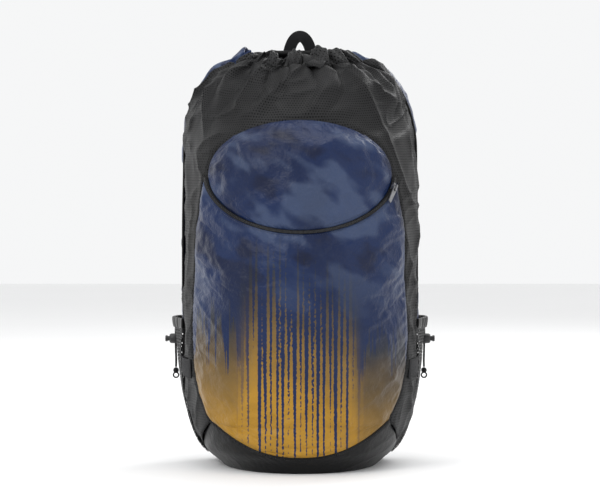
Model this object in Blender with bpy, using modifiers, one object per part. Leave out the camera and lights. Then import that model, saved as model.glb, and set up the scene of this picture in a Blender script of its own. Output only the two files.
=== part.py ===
"""Softball gear bag: a drawstring-top backpack with a zipped front pouch and two mesh pockets.

Metres, +Z up. The front of the bag faces -Y, X = 0 is its middle plane and the origin is the
middle of the flat base. The cloth is one skin, a function of the way round the bag and the way
up it, and each sewn panel is a piece of that skin between its seams.
"""
import math
from collections import namedtuple

import bmesh
import bpy
import numpy as np
from mathutils import Matrix, Vector
from mathutils.bvhtree import BVHTree
from mathutils.geometry import delaunay_2d_cdt

# Main sizes of the bag
body_height = 0.554
body_width = 0.319
front_depth = 0.151
back_depth = 0.124
widest_depth = 0.062
front_power = 2.1
back_power = 4.5

# Cloth, seams and clearances
cloth = 0.002
seam_gap = 0.0007
clearance = 0.0004
webbing = 0.0018
panel_step = 0.031
gather_step = 0.013
seam_step = 0.024

# Gathers round the drawn mouth
gather_start = 0.84
gather_depth = 0.0062
gather_lift = 0.004
gather_waves = 15
gather_ripples = 23

# Front pouch: oval flap, zip under it, printed panel below
flap_width = 0.246
flap_height = 0.146
flap_rise = 0.394
tape_side = 0.0055
tape_middle = 0.0036
tape_start = math.radians(3.5)
pouch_corner_rise = 0.068
pouch_corner_width = 0.240
pouch_bottom_rise = 0.022
pouch_bottom_power = 2.2
boot_rise = 0.010

# Rear seams
back_seam_width = 0.230
lower_side_rise = 0.168

# Back pad
pad_thickness = 0.007
pad_width = 0.154
pad_flare = 0.021
pad_bottom = 0.030
pad_top = 0.523
pad_seat = 0.0013
pad_edge = 0.016

# Side pockets
pocket_bottom = 0.016
pocket_rim = 0.197
pocket_front_depth = 0.052
pocket_bulge = 0.037
pocket_rearward = 2.0
pocket_seat = 0.0022
pocket_ripple = 0.0015
pocket_rear_gap = 0.003
hem_height = 0.015
hem_extra = 0.0008
hem_step = 0.0105

# Side webbing
side_web_rise = 0.133
side_web_width = 0.025
side_web_front = -0.033
side_web_back = 0.048
side_web_margin = 0.004
web_seat = 0.0008

# Shoulder straps
strap_width = 0.060
strap_thickness = 0.014
strap_spacing = 0.124
strap_reach = 0.114
face_width = 0.041
face_thickness = 0.0018
strap_steps = 28
strap_sides = 10
face_seat = 0.0008
strap_narrowing = 0.42
narrowing_start = 0.86
patch_width = 0.025
patch_length = 0.030
web_width = 0.025

# Ladder-lock buckles
buckle_width = 0.033
buckle_length = 0.042
buckle_thickness = 0.005
buckle_bar = 0.004
buckle_slots = 3
web_stand = 0.0016
tail_stand = 0.0029
web_straight = 0.009
web_steps = 18

# Sternum strap keeper on the left strap
keeper_width = 0.020
keeper_reach = 0.011
keeper_length = 0.038
keeper_wall = 0.0024
keeper_rise = 0.362
keeper_tail_length = 0.100

# Haul loop
loop_width = 0.052
loop_height = 0.054
loop_band = 0.016
loop_thickness = 0.003
loop_foot = 0.970
loop_lean = 0.010
loop_steps = 15

# Pocket cords and their locks
cord_diameter = 0.003
cord_steps = 22
lock_radius = 0.007
lock_inner_end = 0.0068
lock_outer_end = 0.0085
lock_wall = 0.0026
lock_sides = 14
button_radius = 0.0034
button_cap_radius = 0.0043
button_cap = 0.0032
button_travel = 0.0025
knot_radius = 0.0042
knot_loop_radius = 0.0036
knot_loop_wire = 0.0012

# Zip slider and pull
slider_length = 0.011
slider_width = 0.009
slider_height = 0.0032
bridge_length = 0.0088
bridge_width = 0.0020
bridge_wall = 0.0012
bridge_space = 0.0022
bridge_root = 0.0006
pull_length = 0.024
pull_width = 0.0082
pull_thickness = 0.0012
pull_window = 0.0050
pull_bar = 0.0012
pull_rail = 0.0024
slider_place = math.radians(346)

Finish = namedtuple("Finish", "colour roughness metallic")
FINISHES = {
    "navy_print": Finish((0.020, 0.045, 0.130), 0.45, 0.0),
    "ombre_print": Finish((0.330, 0.230, 0.080), 0.45, 0.0),
    "black_mesh": Finish((0.012, 0.012, 0.013), 0.75, 0.0),
    "black_satin": Finish((0.010, 0.010, 0.011), 0.50, 0.0),
    "charcoal_cloth": Finish((0.045, 0.045, 0.047), 0.85, 0.0),
    "gold_cloth": Finish((0.760, 0.460, 0.110), 0.65, 0.0),
    "black_webbing": Finish((0.014, 0.014, 0.015), 0.70, 0.0),
    "black_plastic": Finish((0.012, 0.012, 0.013), 0.30, 0.0),
    "dark_metal": Finish((0.180, 0.180, 0.190), 0.30, 1.0),
}

# Sections of the skin from the base to the lip of the mouth, as shares of body_height,
# half the body_width, front_depth, back_depth and body_height again
Section = namedtuple("Section", "rise width front back drop")
SECTIONS = (
    Section(0.000, 0.660, 0.750, 0.910, 0.000),
    Section(0.022, 0.745, 0.785, 0.975, 0.000),
    Section(0.047, 0.835, 0.866, 1.000, 0.000),
    Section(0.076, 0.890, 0.875, 1.000, 0.000),
    Section(0.120, 0.940, 0.852, 1.000, 0.000),
    Section(0.191, 0.984, 0.900, 1.000, 0.000),
    Section(0.270, 1.000, 0.957, 1.000, 0.000),
    Section(0.420, 1.000, 1.000, 1.000, 0.000),
    Section(0.600, 1.000, 0.985, 1.000, 0.000),
    Section(0.738, 0.998, 0.940, 1.000, 0.000),
    Section(0.765, 0.995, 0.905, 1.000, 0.000),
    Section(0.790, 0.990, 0.848, 1.000, 0.000),
    Section(0.815, 0.978, 0.735, 1.000, 0.000),
    Section(0.857, 0.945, 0.603, 1.000, 0.000),
    Section(0.906, 0.880, 0.457, 1.000, 0.000),
    Section(0.953, 0.765, 0.298, 1.000, 0.004),
    Section(0.982, 0.640, 0.200, 0.985, 0.018),
    Section(1.000, 0.530, 0.120, 0.955, 0.034),
    Section(1.012, 0.430, 0.010, 0.880, 0.046),
)

# Side seam of the pouch: how far forward it lies at each height, in shares of front_depth
PouchSeam = namedtuple("PouchSeam", "rise forward")
POUCH_SEAM = (
    PouchSeam(0.123, 0.400),
    PouchSeam(0.186, 0.285),
    PouchSeam(0.254, 0.238),
    PouchSeam(0.330, 0.230),
    PouchSeam(0.420, 0.250),
    PouchSeam(0.487, 0.280),
    PouchSeam(0.540, 0.310),
    PouchSeam(0.615, 0.380),
    PouchSeam(0.700, 0.480),
)

# Seam between the rear side panel and the mesh, in shares of back_depth
SideSeam = namedtuple("SideSeam", "rise back")
SIDE_SEAM = (
    SideSeam(0.000, 0.450),
    SideSeam(0.850, 0.450),
    SideSeam(0.930, 0.340),
    SideSeam(1.012, 0.300),
)

# Dents and folds pressed into the skin: place round (share of half the girth) and up (share of
# the height), depth, half width and half length, and the slant of the fold in degrees
Dent = namedtuple("Dent", "round rise depth across along slant")
DENTS = (
    Dent(-0.24, 0.560, 0.0040, 0.014, 0.060, 58),
    Dent(0.20, 0.545, 0.0035, 0.016, 0.055, -50),
    Dent(-0.30, 0.400, 0.0045, 0.016, 0.060, 35),
    Dent(0.34, 0.420, 0.0040, 0.015, 0.055, -38),
    Dent(-0.20, 0.250, 0.0030, 0.014, 0.050, 70),
    Dent(0.10, 0.720, 0.0035, 0.014, 0.050, 75),
    Dent(-0.10, 0.690, 0.0030, 0.012, 0.045, -70),
    Dent(0.52, 0.760, 0.0050, 0.020, 0.060, 15),
    Dent(-0.52, 0.780, 0.0050, 0.020, 0.060, -15),
    Dent(0.50, 0.360, 0.0035, 0.020, 0.070, 60),
    Dent(-0.50, 0.380, 0.0035, 0.020, 0.070, -60),
    Dent(0.72, 0.600, 0.0025, 0.018, 0.070, 40),
    Dent(-0.72, 0.620, 0.0025, 0.018, 0.070, -40),
)

# Centre line of each shoulder strap: out in shares of strap_reach, up in shares of
# body_height, sideways in shares of half the strap_spacing, and twist in degrees
StrapRow = namedtuple("StrapRow", "out rise side twist")
LEFT_STRAP = (
    StrapRow(0.000, 0.965, 1.00, 0),
    StrapRow(0.280, 0.968, 1.00, 0),
    StrapRow(0.520, 0.951, 0.99, 0),
    StrapRow(0.710, 0.926, 0.98, 2),
    StrapRow(0.880, 0.885, 0.96, 4),
    StrapRow(0.975, 0.830, 0.94, 5),
    StrapRow(1.000, 0.765, 0.92, 6),
    StrapRow(0.985, 0.700, 0.92, 6),
    StrapRow(0.905, 0.596, 0.93, 6),
    StrapRow(0.780, 0.500, 0.97, 4),
    StrapRow(0.620, 0.430, 1.00, 2),
)
RIGHT_STRAP = (
    StrapRow(0.000, 0.965, 1.00, 0),
    StrapRow(0.130, 0.963, 1.00, 0),
    StrapRow(0.230, 0.935, 0.99, 8),
    StrapRow(0.320, 0.895, 0.98, 20),
    StrapRow(0.365, 0.840, 0.96, 30),
    StrapRow(0.385, 0.765, 0.94, 34),
    StrapRow(0.380, 0.690, 0.93, 34),
    StrapRow(0.345, 0.600, 0.95, 28),
    StrapRow(0.270, 0.510, 0.98, 14),
    StrapRow(0.200, 0.430, 1.00, 4),
)

# Webbing below each buckle: rows as for the straps, without twist
WebRow = namedtuple("WebRow", "out rise side")
LEFT_LOWER_WEB = (
    WebRow(0.520, 0.352, 1.02),
    WebRow(0.420, 0.300, 1.07),
    WebRow(0.290, 0.245, 1.16),
    WebRow(0.170, 0.195, 1.32),
    WebRow(0.075, 0.163, 1.50),
    WebRow(0.000, 0.150, 1.74),
)
RIGHT_LOWER_WEB = (
    WebRow(0.155, 0.352, 1.02),
    WebRow(0.150, 0.300, 1.06),
    WebRow(0.130, 0.250, 1.14),
    WebRow(0.095, 0.205, 1.28),
    WebRow(0.050, 0.170, 1.48),
    WebRow(0.000, 0.150, 1.74),
)
LEFT_TAIL = (
    WebRow(0.590, 0.350, 0.96),
    WebRow(0.640, 0.300, 0.94),
    WebRow(0.640, 0.235, 0.93),
    WebRow(0.520, 0.165, 0.93),
    WebRow(0.340, 0.100, 0.94),
    WebRow(0.180, 0.072, 0.95),
)
RIGHT_TAIL = (
    WebRow(0.225, 0.350, 0.96),
    WebRow(0.260, 0.300, 0.94),
    WebRow(0.255, 0.235, 0.93),
    WebRow(0.220, 0.165, 0.93),
    WebRow(0.180, 0.110, 0.94),
    WebRow(0.140, 0.075, 0.95),
)

# Route of each pocket cord below its eyelet in the hem, chosen by eye, in metres: outward from
# the middle plane, rearward and up
CordRow = namedtuple("CordRow", "side rear rise")
CORD_ROUTE = (
    CordRow(0.1724, 0.1413, 0.1855),
    CordRow(0.1731, 0.1417, 0.1815),
    CordRow(0.1733, 0.1418, 0.1720),
    CordRow(0.1733, 0.1418, 0.1580),
    CordRow(0.1731, 0.1417, 0.1460),
    CordRow(0.1728, 0.1415, 0.1340),
    CordRow(0.1730, 0.1415, 0.1242),
)
cord_lock_rise = 0.1640
cord_lock_row = 3
cord_eyelet = CordRow(0.1681, 0.1388, 0.1904)
eyelet_run = 0.0034


# Fresh scene with one collection for the bag and one for the cutters
for old in list(bpy.data.objects):
    bpy.data.objects.remove(old, do_unlink=True)
bag = bpy.data.collections.new("softball_gear_bag")
cutters = bpy.data.collections.new("cutters")
bpy.context.scene.collection.children.link(bag)
bpy.context.scene.collection.children.link(cutters)


def finish(name):
    """One Principled material for each piece, from its row in FINISHES."""
    row = FINISHES[name]
    material = bpy.data.materials.new(name)
    material.use_nodes = True
    shader = material.node_tree.nodes["Principled BSDF"]
    shader.inputs["Base Color"].default_value = (*row.colour, 1.0)
    shader.inputs["Roughness"].default_value = row.roughness
    shader.inputs["Metallic"].default_value = row.metallic
    return material


def add_object(name, data, finish_name, smooth=False):
    """Put a mesh or a curve in the bag's collection under its own name."""
    piece = bpy.data.objects.new(name, data)
    data.materials.append(finish(finish_name))
    bag.objects.link(piece)
    if smooth:
        data.shade_smooth()
        data.set_sharp_from_angle(angle=math.radians(50))
    return piece


def add_mesh(name, points, faces, finish_name, smooth=True):
    """Make a named object from points and matching faces, turned outwards by its volume."""
    points = np.asarray(points, float)
    volume = sum(float(np.dot(points[face[0]], np.cross(points[face[k]], points[face[k + 1]])))
                 for face in faces for k in range(1, len(face) - 1))
    if volume < 0:
        faces = [tuple(face)[::-1] for face in faces]
    data = bpy.data.meshes.new(name)
    data.from_pydata(points.tolist(), [], [tuple(face) for face in faces])
    return add_object(name, data, finish_name, smooth)


def curve_through(places, values, at):
    """Monotone cubic through the values at the places, read at the wanted places."""
    places = np.asarray(places, float)
    values = np.asarray(values, float)
    at = np.clip(at, places[0], places[-1])
    step = np.diff(places)
    rate = np.diff(values) / step
    slope = np.zeros(len(places))
    same_way = rate[:-1] * rate[1:] > 0
    left = 2 * step[1:] + step[:-1]
    right = step[1:] + 2 * step[:-1]
    safe = np.where(same_way, rate[:-1], 1.0), np.where(same_way, rate[1:], 1.0)
    mean = (left + right) / (left / safe[0] + right / safe[1])
    slope[1:-1] = np.where(same_way, mean, 0.0)
    slope[0] = rate[0]
    slope[-1] = rate[-1]
    cell = np.clip(np.searchsorted(places, at, side="right") - 1, 0, len(step) - 1)
    width = step[cell]
    t = (at - places[cell]) / width
    return ((2 * t**3 - 3 * t**2 + 1) * values[cell] + (t**3 - 2 * t**2 + t) * width * slope[cell]
            + (3 * t**2 - 2 * t**3) * values[cell + 1] + (t**3 - t**2) * width * slope[cell + 1])


def smooth_route(points, count):
    """Evenly spaced points on one smooth curve through the chosen points."""
    points = np.asarray(points, float)
    apart = np.linalg.norm(np.diff(points[:, :3], axis=0), axis=1) ** 0.5
    knots = np.concatenate([[0.0], np.cumsum(apart)])
    fine = np.linspace(0, knots[-1], 40 * len(points))
    padded = np.vstack([2 * points[0] - points[1], points, 2 * points[-1] - points[-2]])
    times = np.concatenate([[knots[0] - apart[0]], knots, [knots[-1] + apart[-1]]])
    cell = np.clip(np.searchsorted(knots, fine, side="right") - 1, 0, len(points) - 2)
    t0, t1, t2, t3 = (times[cell + k][:, None] for k in range(4))
    p0, p1, p2, p3 = (padded[cell + k] for k in range(4))
    t = fine[:, None]
    a1 = ((t1 - t) * p0 + (t - t0) * p1) / (t1 - t0)
    a2 = ((t2 - t) * p1 + (t - t1) * p2) / (t2 - t1)
    a3 = ((t3 - t) * p2 + (t - t2) * p3) / (t3 - t2)
    b1 = ((t2 - t) * a1 + (t - t0) * a2) / (t2 - t0)
    b2 = ((t3 - t) * a2 + (t - t1) * a3) / (t3 - t1)
    line = ((t2 - t) * b1 + (t - t1) * b2) / (t2 - t1)
    along = np.concatenate([[0.0], np.cumsum(np.linalg.norm(np.diff(line[:, :3], axis=0), axis=1))])
    wanted = np.linspace(0, along[-1], count)
    return np.column_stack([np.interp(wanted, along, line[:, k]) for k in range(line.shape[1])])


# The skin of the bag
half_width = body_width / 2
section_turn = np.linspace(0, np.pi, 721)


def section_powers(turn):
    """Squareness of the section, and how far it reaches from its widest plane."""
    return np.where(np.cos(turn) > 0, front_power, back_power)


def section_point(turn, width, front, back):
    """Half section of the bag: turn 0 is the front middle, pi the back middle."""
    power = section_powers(turn)
    x = width * np.abs(np.sin(turn)) ** (2 / power)
    forward = np.abs(np.cos(turn)) ** (2 / power)
    reach = np.where(np.cos(turn) > 0, -(front + widest_depth), back - widest_depth)
    return x, widest_depth + reach * forward


reference = np.column_stack(section_point(section_turn, half_width, front_depth, back_depth))
reference_length = np.concatenate([[0.0], np.cumsum(np.linalg.norm(np.diff(reference, axis=0), axis=1))])
half_girth = reference_length[-1]

section_rise = np.array([row.rise for row in SECTIONS]) * body_height
section_width = np.array([row.width for row in SECTIONS]) * half_width
section_front = np.array([row.front for row in SECTIONS]) * front_depth
section_back = np.array([row.back for row in SECTIONS]) * back_depth
section_drop = np.array([row.drop for row in SECTIONS]) * body_height
section_climb = np.concatenate([[0.0], np.cumsum(np.sqrt(
    np.diff(section_rise) ** 2 + (np.diff(section_width) ** 2 + np.diff(section_front) ** 2) / 2))])
lip = section_climb[-1]


def climb_at(rise):
    """Way up the cloth at a height above the floor."""
    return np.interp(rise, section_rise, section_climb)


def turn_at(way):
    """Turn round the section at a way round the bag, in metres from the front middle."""
    return np.interp(np.abs(way), reference_length, section_turn)


def way_at(turn):
    """Way round the bag at a turn of the section."""
    return np.interp(turn, section_turn, reference_length)


def plain_skin(way, climb):
    """Point of the cloth without its gathers and dents, and its outward direction in plan."""
    way = (way + half_girth) % (2 * half_girth) - half_girth
    side = np.where(way < 0, -1.0, 1.0)
    turn = turn_at(way)
    width, front, back, rise, drop = (curve_through(section_climb, column, climb) for column in (
        section_width, section_front, section_back, section_rise, section_drop))
    x, y = section_point(turn, width, front, back)
    z = rise - drop * (1 + np.cos(turn)) / 2
    return np.stack([side * x, y, z], axis=-1), np.stack(
        [side * np.sin(turn), -np.cos(turn), np.zeros_like(turn)], axis=-1)


def gather_wave(way):
    """Uneven gathers round the mouth, fading out on the flat back panel."""
    share = way / half_girth * np.pi
    wave = 0.65 * np.cos(gather_waves * share + 0.6) + 0.45 * np.cos(gather_ripples * share + 2.0)
    beyond = (np.abs((way + half_girth) % (2 * half_girth) - half_girth) / half_girth - 0.74) / 0.10
    return wave * (1 - np.clip(beyond, 0, 1))


def skin(way, climb):
    """Outer face of the cloth: the plain skin with its gathers, folds and dents."""
    way = np.asarray(way, float)
    climb = np.asarray(climb, float)
    point, outward = plain_skin(way, climb)
    start = climb_at(gather_start * body_height)
    drawn = np.clip((climb - start) / (lip - start), 0, 1) ** 1.4
    push = gather_depth * drawn * gather_wave(way)
    for dent in DENTS:
        across = way - dent.round * half_girth
        up = climb - climb_at(dent.rise * body_height)
        lean = math.radians(dent.slant)
        a = (across * math.cos(lean) + up * math.sin(lean)) / dent.across
        b = (-across * math.sin(lean) + up * math.cos(lean)) / dent.along
        push = push - dent.depth * np.exp(-a * a - b * b)
    point = point + outward * push[..., None]
    point[..., 2] += gather_lift * drawn * gather_wave(way + 0.01)
    return point


def face_normal(surface, way, climb):
    """Outward unit normal of a surface over the skin, from small steps both ways."""
    small = 0.0012
    round_it = surface(way + small, climb) - surface(way - small, climb)
    low = np.clip(climb - small, 0, lip)
    high = np.clip(climb + small, 0, lip)
    up_it = surface(way, high) - surface(way, low)
    normal = np.cross(round_it, up_it)
    return normal / np.linalg.norm(normal, axis=-1, keepdims=True)


def lifted(distance):
    """The skin moved outwards by a distance."""
    def surface(way, climb):
        return skin(way, climb) + face_normal(skin, way, climb) * distance
    return surface


def inset(outline, distance):
    """Closed outline drawn in by a distance, each corner on its mitre."""
    before = outline - np.roll(outline, 1, axis=0)
    after = np.roll(outline, -1, axis=0) - outline
    before = before / np.linalg.norm(before, axis=1, keepdims=True)
    after = after / np.linalg.norm(after, axis=1, keepdims=True)
    inward = np.column_stack([-(before + after)[:, 1], (before + after)[:, 0]]) / 2
    inward = inward / np.maximum(np.sum(inward**2, axis=1, keepdims=True), 0.12)
    return outline + inward * distance


def inside(points, outline):
    """Which points lie inside a closed outline, and how far from its edge they are."""
    start = outline
    end = np.roll(outline, -1, axis=0)
    px = points[:, None, 0]
    py = points[:, None, 1]
    straddle = (start[:, 1] > py) != (end[:, 1] > py)
    rise = np.where(end[:, 1] == start[:, 1], 1.0, end[:, 1] - start[:, 1])
    cross = start[:, 0] + (py - start[:, 1]) * (end[:, 0] - start[:, 0]) / rise
    within = np.sum(straddle & (px < cross), axis=1) % 2 == 1
    run = end - start
    share = ((points[:, None, :] - start) * run).sum(2) / np.maximum((run * run).sum(1), 1e-12)
    nearest = start + np.clip(share, 0, 1)[..., None] * run
    away = np.linalg.norm(points[:, None, :] - nearest, axis=2).min(axis=1)
    return within, away


def fill_points(outline, step, gathered_step):
    """Staggered points inside an outline, closer together where the cloth is gathered."""
    low = outline.min(axis=0)
    high = outline.max(axis=0)
    gathers = climb_at(gather_start * body_height) + 0.010
    rows = []
    climb = low[1] + step / 2
    odd = False
    while climb < high[1]:
        tight = climb > gathers
        across = gathered_step if tight else step
        ways = np.arange(low[0] - across * (0.5 if odd else 0.0), high[0], across)
        rows.append(np.column_stack([ways, np.full_like(ways, climb)]))
        climb += 1.35 * gathered_step if tight else 0.87 * step
        odd = not odd
    points = np.vstack(rows)
    within, away = inside(points, outline)
    near = np.where(points[:, 1] > gathers, 0.45 * gathered_step, 0.45 * step)
    return points[within & (away > near)]


def cloth_panel(name, outline, finish_name, surface=skin, inner_surface=None, thickness=cloth,
                step=panel_step, gathered_step=gather_step):
    """Closed panel of cloth: the outline filled with triangles and laid on a surface over the
    skin, with its inner face a thickness inside, or on a surface of its own."""
    outline = np.asarray(outline, float)
    drawn_in = (half_width / curve_through(section_climb, section_width, outline[:, 1])) ** 1.6
    outline = inset(outline, seam_gap / 2 * drawn_in[:, None])
    points = np.vstack([outline, fill_points(outline, step, gathered_step)])
    count = len(outline)
    edges = [(k, (k + 1) % count) for k in range(count)]
    flat, _, triangles, _, _, _ = delaunay_2d_cdt([Vector(p) for p in points], edges, [], 1, 1e-7)
    way, climb = np.array([tuple(p) for p in flat]).T
    outer = surface(way, climb)
    if inner_surface:
        inner = inner_surface(way, climb)
    else:
        inner = outer - face_normal(surface, way, climb) * thickness
    total = len(flat)
    faces = [tuple(t) for t in triangles]
    used = {edge for a, b, c in faces for edge in ((a, b), (b, c), (c, a))}
    walls = [(b, a, a + total, b + total) for a, b in used if (b, a) not in used]
    inner_faces = [(c + total, b + total, a + total) for a, b, c in faces]
    return add_mesh(name, np.vstack([outer, inner]), faces + inner_faces + walls, finish_name)


# Seams, as points of way round and way up that neighbouring panels share
def front_way(x, climb):
    """Way round at a distance x from the middle plane, on the front of the bag."""
    width = curve_through(section_climb, section_width, climb)
    share = np.clip(np.abs(x) / width, 0, 1)
    return np.sign(x) * way_at(np.arcsin(share ** (front_power / 2)))


def depth_way(y, climb):
    """Way round at a depth y, front or back of the widest plane, on the right of the bag."""
    front = curve_through(section_climb, section_front, climb)
    back = curve_through(section_climb, section_back, climb)
    ahead = np.clip((widest_depth - y) / (front + widest_depth), 0, 1) ** (front_power / 2)
    behind = np.clip((y - widest_depth) / (back - widest_depth), 0, 1) ** (back_power / 2)
    turn = np.where(y < widest_depth, np.arccos(ahead), np.pi - np.arccos(behind))
    return way_at(turn)


def back_way(x, climb):
    """Way round at a distance x from the middle plane, on the back of the bag's right half."""
    width = curve_through(section_climb, section_width, climb)
    share = np.clip(x / width, 0, 0.93)
    return way_at(np.pi - np.arcsin(share ** (back_power / 2)))


def steps_between(low, high, step):
    """Evenly spaced values from low to high, about a step apart."""
    return np.linspace(low, high, max(2, int(round(abs(high - low) / step)) + 1))


def mirrored(seam):
    """The same seam on the left of the bag."""
    return seam * np.array([-1.0, 1.0])


def joined(*runs):
    """One outline from seams laid end to end, without repeated points."""
    points = np.vstack(runs)
    apart = np.linalg.norm(points - np.roll(points, 1, axis=0), axis=1)
    return points[apart > 1e-6]


def oval(width, height, angles):
    """Points of the flap's oval on the skin at the given angles from the right end."""
    x = width / 2 * np.cos(angles)
    climb = climb_at(flap_rise + height / 2 * np.sin(angles))
    return np.column_stack([front_way(x, climb), climb])


flap_half = 22
upper_angles = np.linspace(0, np.pi, flap_half + 1)
lower_angles = np.linspace(np.pi, 2 * np.pi, flap_half + 1)
flap_upper = oval(flap_width, flap_height, upper_angles)
flap_lower = oval(flap_width, flap_height, lower_angles)
tape_angles = np.linspace(np.pi + tape_start, 2 * np.pi - tape_start, flap_half + 1)
tape_outer = oval(flap_width + 2 * tape_side, flap_height + 2 * tape_middle, tape_angles)

pouch_top = tape_outer[-1]
pouch_climb = steps_between(climb_at(pouch_corner_rise), pouch_top[1], seam_step)
pouch_rows = np.array([(climb_at(row.rise * body_height), row.forward) for row in POUCH_SEAM])
pouch_forward = curve_through(pouch_rows[:, 0], pouch_rows[:, 1], pouch_climb) * front_depth
right_pouch = np.column_stack([depth_way(-pouch_forward, pouch_climb), pouch_climb])
fade = np.linspace(0, 1, len(right_pouch)) ** 3
right_pouch[:, 0] += fade * (pouch_top[0] - right_pouch[-1, 0])
right_pouch[0, 0] = front_way(pouch_corner_width / 2, right_pouch[0, 1])
left_pouch = mirrored(right_pouch)

bottom_x = np.linspace(-pouch_corner_width / 2, pouch_corner_width / 2, 15)
bottom_rise = pouch_bottom_rise + (pouch_corner_rise - pouch_bottom_rise) * (
    np.abs(bottom_x) / (pouch_corner_width / 2)) ** pouch_bottom_power
bottom_climb = climb_at(bottom_rise)
pouch_bottom = np.column_stack([front_way(bottom_x, bottom_climb), bottom_climb])
pouch_bottom[0] = left_pouch[0]
pouch_bottom[-1] = right_pouch[0]

boot_climb = climb_at(boot_rise)
split_climb = climb_at(lower_side_rise)
seam_climbs = np.concatenate([steps_between(boot_climb, split_climb, seam_step),
                              steps_between(split_climb, lip, seam_step)[1:]])
side_rows = np.array([(climb_at(row.rise * body_height), row.back) for row in SIDE_SEAM])
side_back = curve_through(side_rows[:, 0], side_rows[:, 1], seam_climbs) * back_depth
side_seam = np.column_stack([depth_way(side_back, seam_climbs), seam_climbs])
back_seam = np.column_stack([back_way(back_seam_width / 2, seam_climbs), seam_climbs])
split_index = int(np.argmin(np.abs(seam_climbs - split_climb)))

boot_line_steps = 6
boot_line = np.column_stack([np.linspace(right_pouch[0, k], side_seam[0, k], boot_line_steps + 1)
                             for k in range(2)])


def level_run(start_way, end_way, climb, step):
    """Points at one height, from one way round to another."""
    ways = steps_between(start_way, end_way, step)
    return np.column_stack([ways, np.full_like(ways, climb)])


mesh_lip = level_run(side_seam[-1, 0], -side_seam[-1, 0], lip, gather_step)
side_lip = level_run(back_seam[-1, 0], side_seam[-1, 0], lip, gather_step)
back_lip = level_run(2 * half_girth - back_seam[-1, 0], back_seam[-1, 0], lip, panel_step)
side_split = level_run(side_seam[split_index, 0], back_seam[split_index, 0], split_climb, seam_step)
side_foot = level_run(side_seam[0, 0], back_seam[0, 0], boot_climb, seam_step)
back_foot = level_run(back_seam[0, 0], 2 * half_girth - back_seam[0, 0], boot_climb, seam_step)

# Body panels
cloth_panel("flap_panel", joined(flap_upper, flap_lower), "navy_print")
cloth_panel("zip_tape", joined(tape_outer, flap_lower[::-1]), "black_webbing", thickness=webbing)
cloth_panel("front_panel", joined(pouch_bottom, right_pouch, tape_outer[::-1], left_pouch[::-1]),
            "ombre_print")
cloth_panel("mesh_body", joined(mirrored(boot_line)[::-1], left_pouch, flap_upper[::-1],
                                right_pouch[::-1], boot_line, side_seam, mesh_lip,
                                mirrored(side_seam)[::-1]), "black_mesh")


def mirrored_panel(outline):
    """Outline of the matching panel on the left, still running the same way round."""
    return mirrored(outline)[::-1]


rear_side = joined(side_split, back_seam[split_index:], side_lip, side_seam[split_index:][::-1])
lower_side = joined(side_foot, back_seam[:split_index + 1], side_split[::-1],
                    side_seam[:split_index + 1][::-1])
for tag, turned in (("right", lambda o: o), ("left", mirrored_panel)):
    cloth_panel("side_panel_" + tag, turned(rear_side), "navy_print")
    cloth_panel("lower_side_" + tag, turned(lower_side), "black_satin")

far_back_seam = back_seam * np.array([-1.0, 1.0]) + np.array([2 * half_girth, 0.0])
cloth_panel("back_panel", joined(back_foot, far_back_seam, back_lip, back_seam[::-1]), "black_satin",
            step=0.026, gathered_step=0.026)


def base_boot():
    """Base and toe of the bag: rings down from the seam, then in across the flat base."""
    half = joined(pouch_bottom[len(pouch_bottom) // 2:], boot_line, side_foot, back_foot)
    half = half[half[:, 0] <= half_girth + 1e-6]
    left = mirrored(half)[::-1]
    seam = np.vstack([half, left[(left[:, 0] < -1e-6) & (left[:, 0] > -half_girth + 1e-6)]])
    ways = seam[:, 0]
    top = seam[:, 1] - seam_gap
    outer_rings = []
    inner_rings = []
    for share in (1.0, 0.66, 0.33, 0.0):
        climb = top * share
        ring = skin(ways, climb)
        outer_rings.append(ring)
        inner_rings.append(ring - face_normal(skin, ways, climb) * cloth)
    middle = outer_rings[-1].mean(axis=0)
    outer_rings[-1][:, 2] = 0.0
    middle[2] = 0.0
    outer_rings.append(middle + (outer_rings[-1] - middle) * 0.5)
    inner_rings[-1][:, 2] = cloth
    inner_middle = middle + np.array([0.0, 0.0, cloth])
    inner_rings.append(inner_middle + (inner_rings[-1] - inner_middle) * 0.5)
    count = len(ways)
    rings = outer_rings + inner_rings
    points = np.vstack(rings + [middle[None], inner_middle[None]])
    faces = []
    around = [(k, (k + 1) % count) for k in range(count)]
    depth = len(outer_rings)
    for ring in range(depth - 1):
        low = (ring + 1) * count
        high = ring * count
        inner = depth * count
        faces += [(low + a, low + b, high + b, high + a) for a, b in around]
        faces += [(inner + high + a, inner + high + b, inner + low + b, inner + low + a)
                  for a, b in around]
    last = (depth - 1) * count
    faces += [(last + b, last + a, 2 * depth * count) for a, b in around]
    last += depth * count
    faces += [(last + a, last + b, 2 * depth * count + 1) for a, b in around]
    faces += [(a, b, depth * count + b, depth * count + a) for a, b in around]
    add_mesh("base_boot", points, faces, "black_satin")


base_boot()


def back_pad():
    """Padded middle of the back, wider at the foot, on the back panel."""
    climbs = steps_between(climb_at(pad_bottom), climb_at(pad_top), 0.036)
    share = (climbs - climbs[0]) / (climbs[-1] - climbs[0])
    half = pad_width / 2 + pad_flare * np.clip(1 - share / 0.22, 0, 1) ** 1.5
    right = np.column_stack([back_way(half, climbs), climbs])
    left = right * np.array([-1.0, 1.0]) + np.array([2 * half_girth, 0.0])
    foot = level_run(right[0, 0], left[0, 0], climbs[0], 0.030)
    head = level_run(left[-1, 0], right[-1, 0], climbs[-1], 0.030)
    outline = joined(foot, left, head, right[::-1])

    def crowned(way, climb):
        """Outer face of the pad, rounded down towards its sewn edge."""
        _, away = inside(np.column_stack([way, climb]), outline)
        crown = np.clip(away / pad_edge, 0, 1)
        lift = pad_seat + pad_thickness * (0.45 + 0.55 * np.sqrt(crown * (2 - crown)))
        return skin(way, climb) + face_normal(skin, way, climb) * lift[:, None]

    cloth_panel("back_pad", outline, "charcoal_cloth", crowned, lifted(pad_seat), step=0.028,
                gathered_step=0.028)


back_pad()


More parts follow.
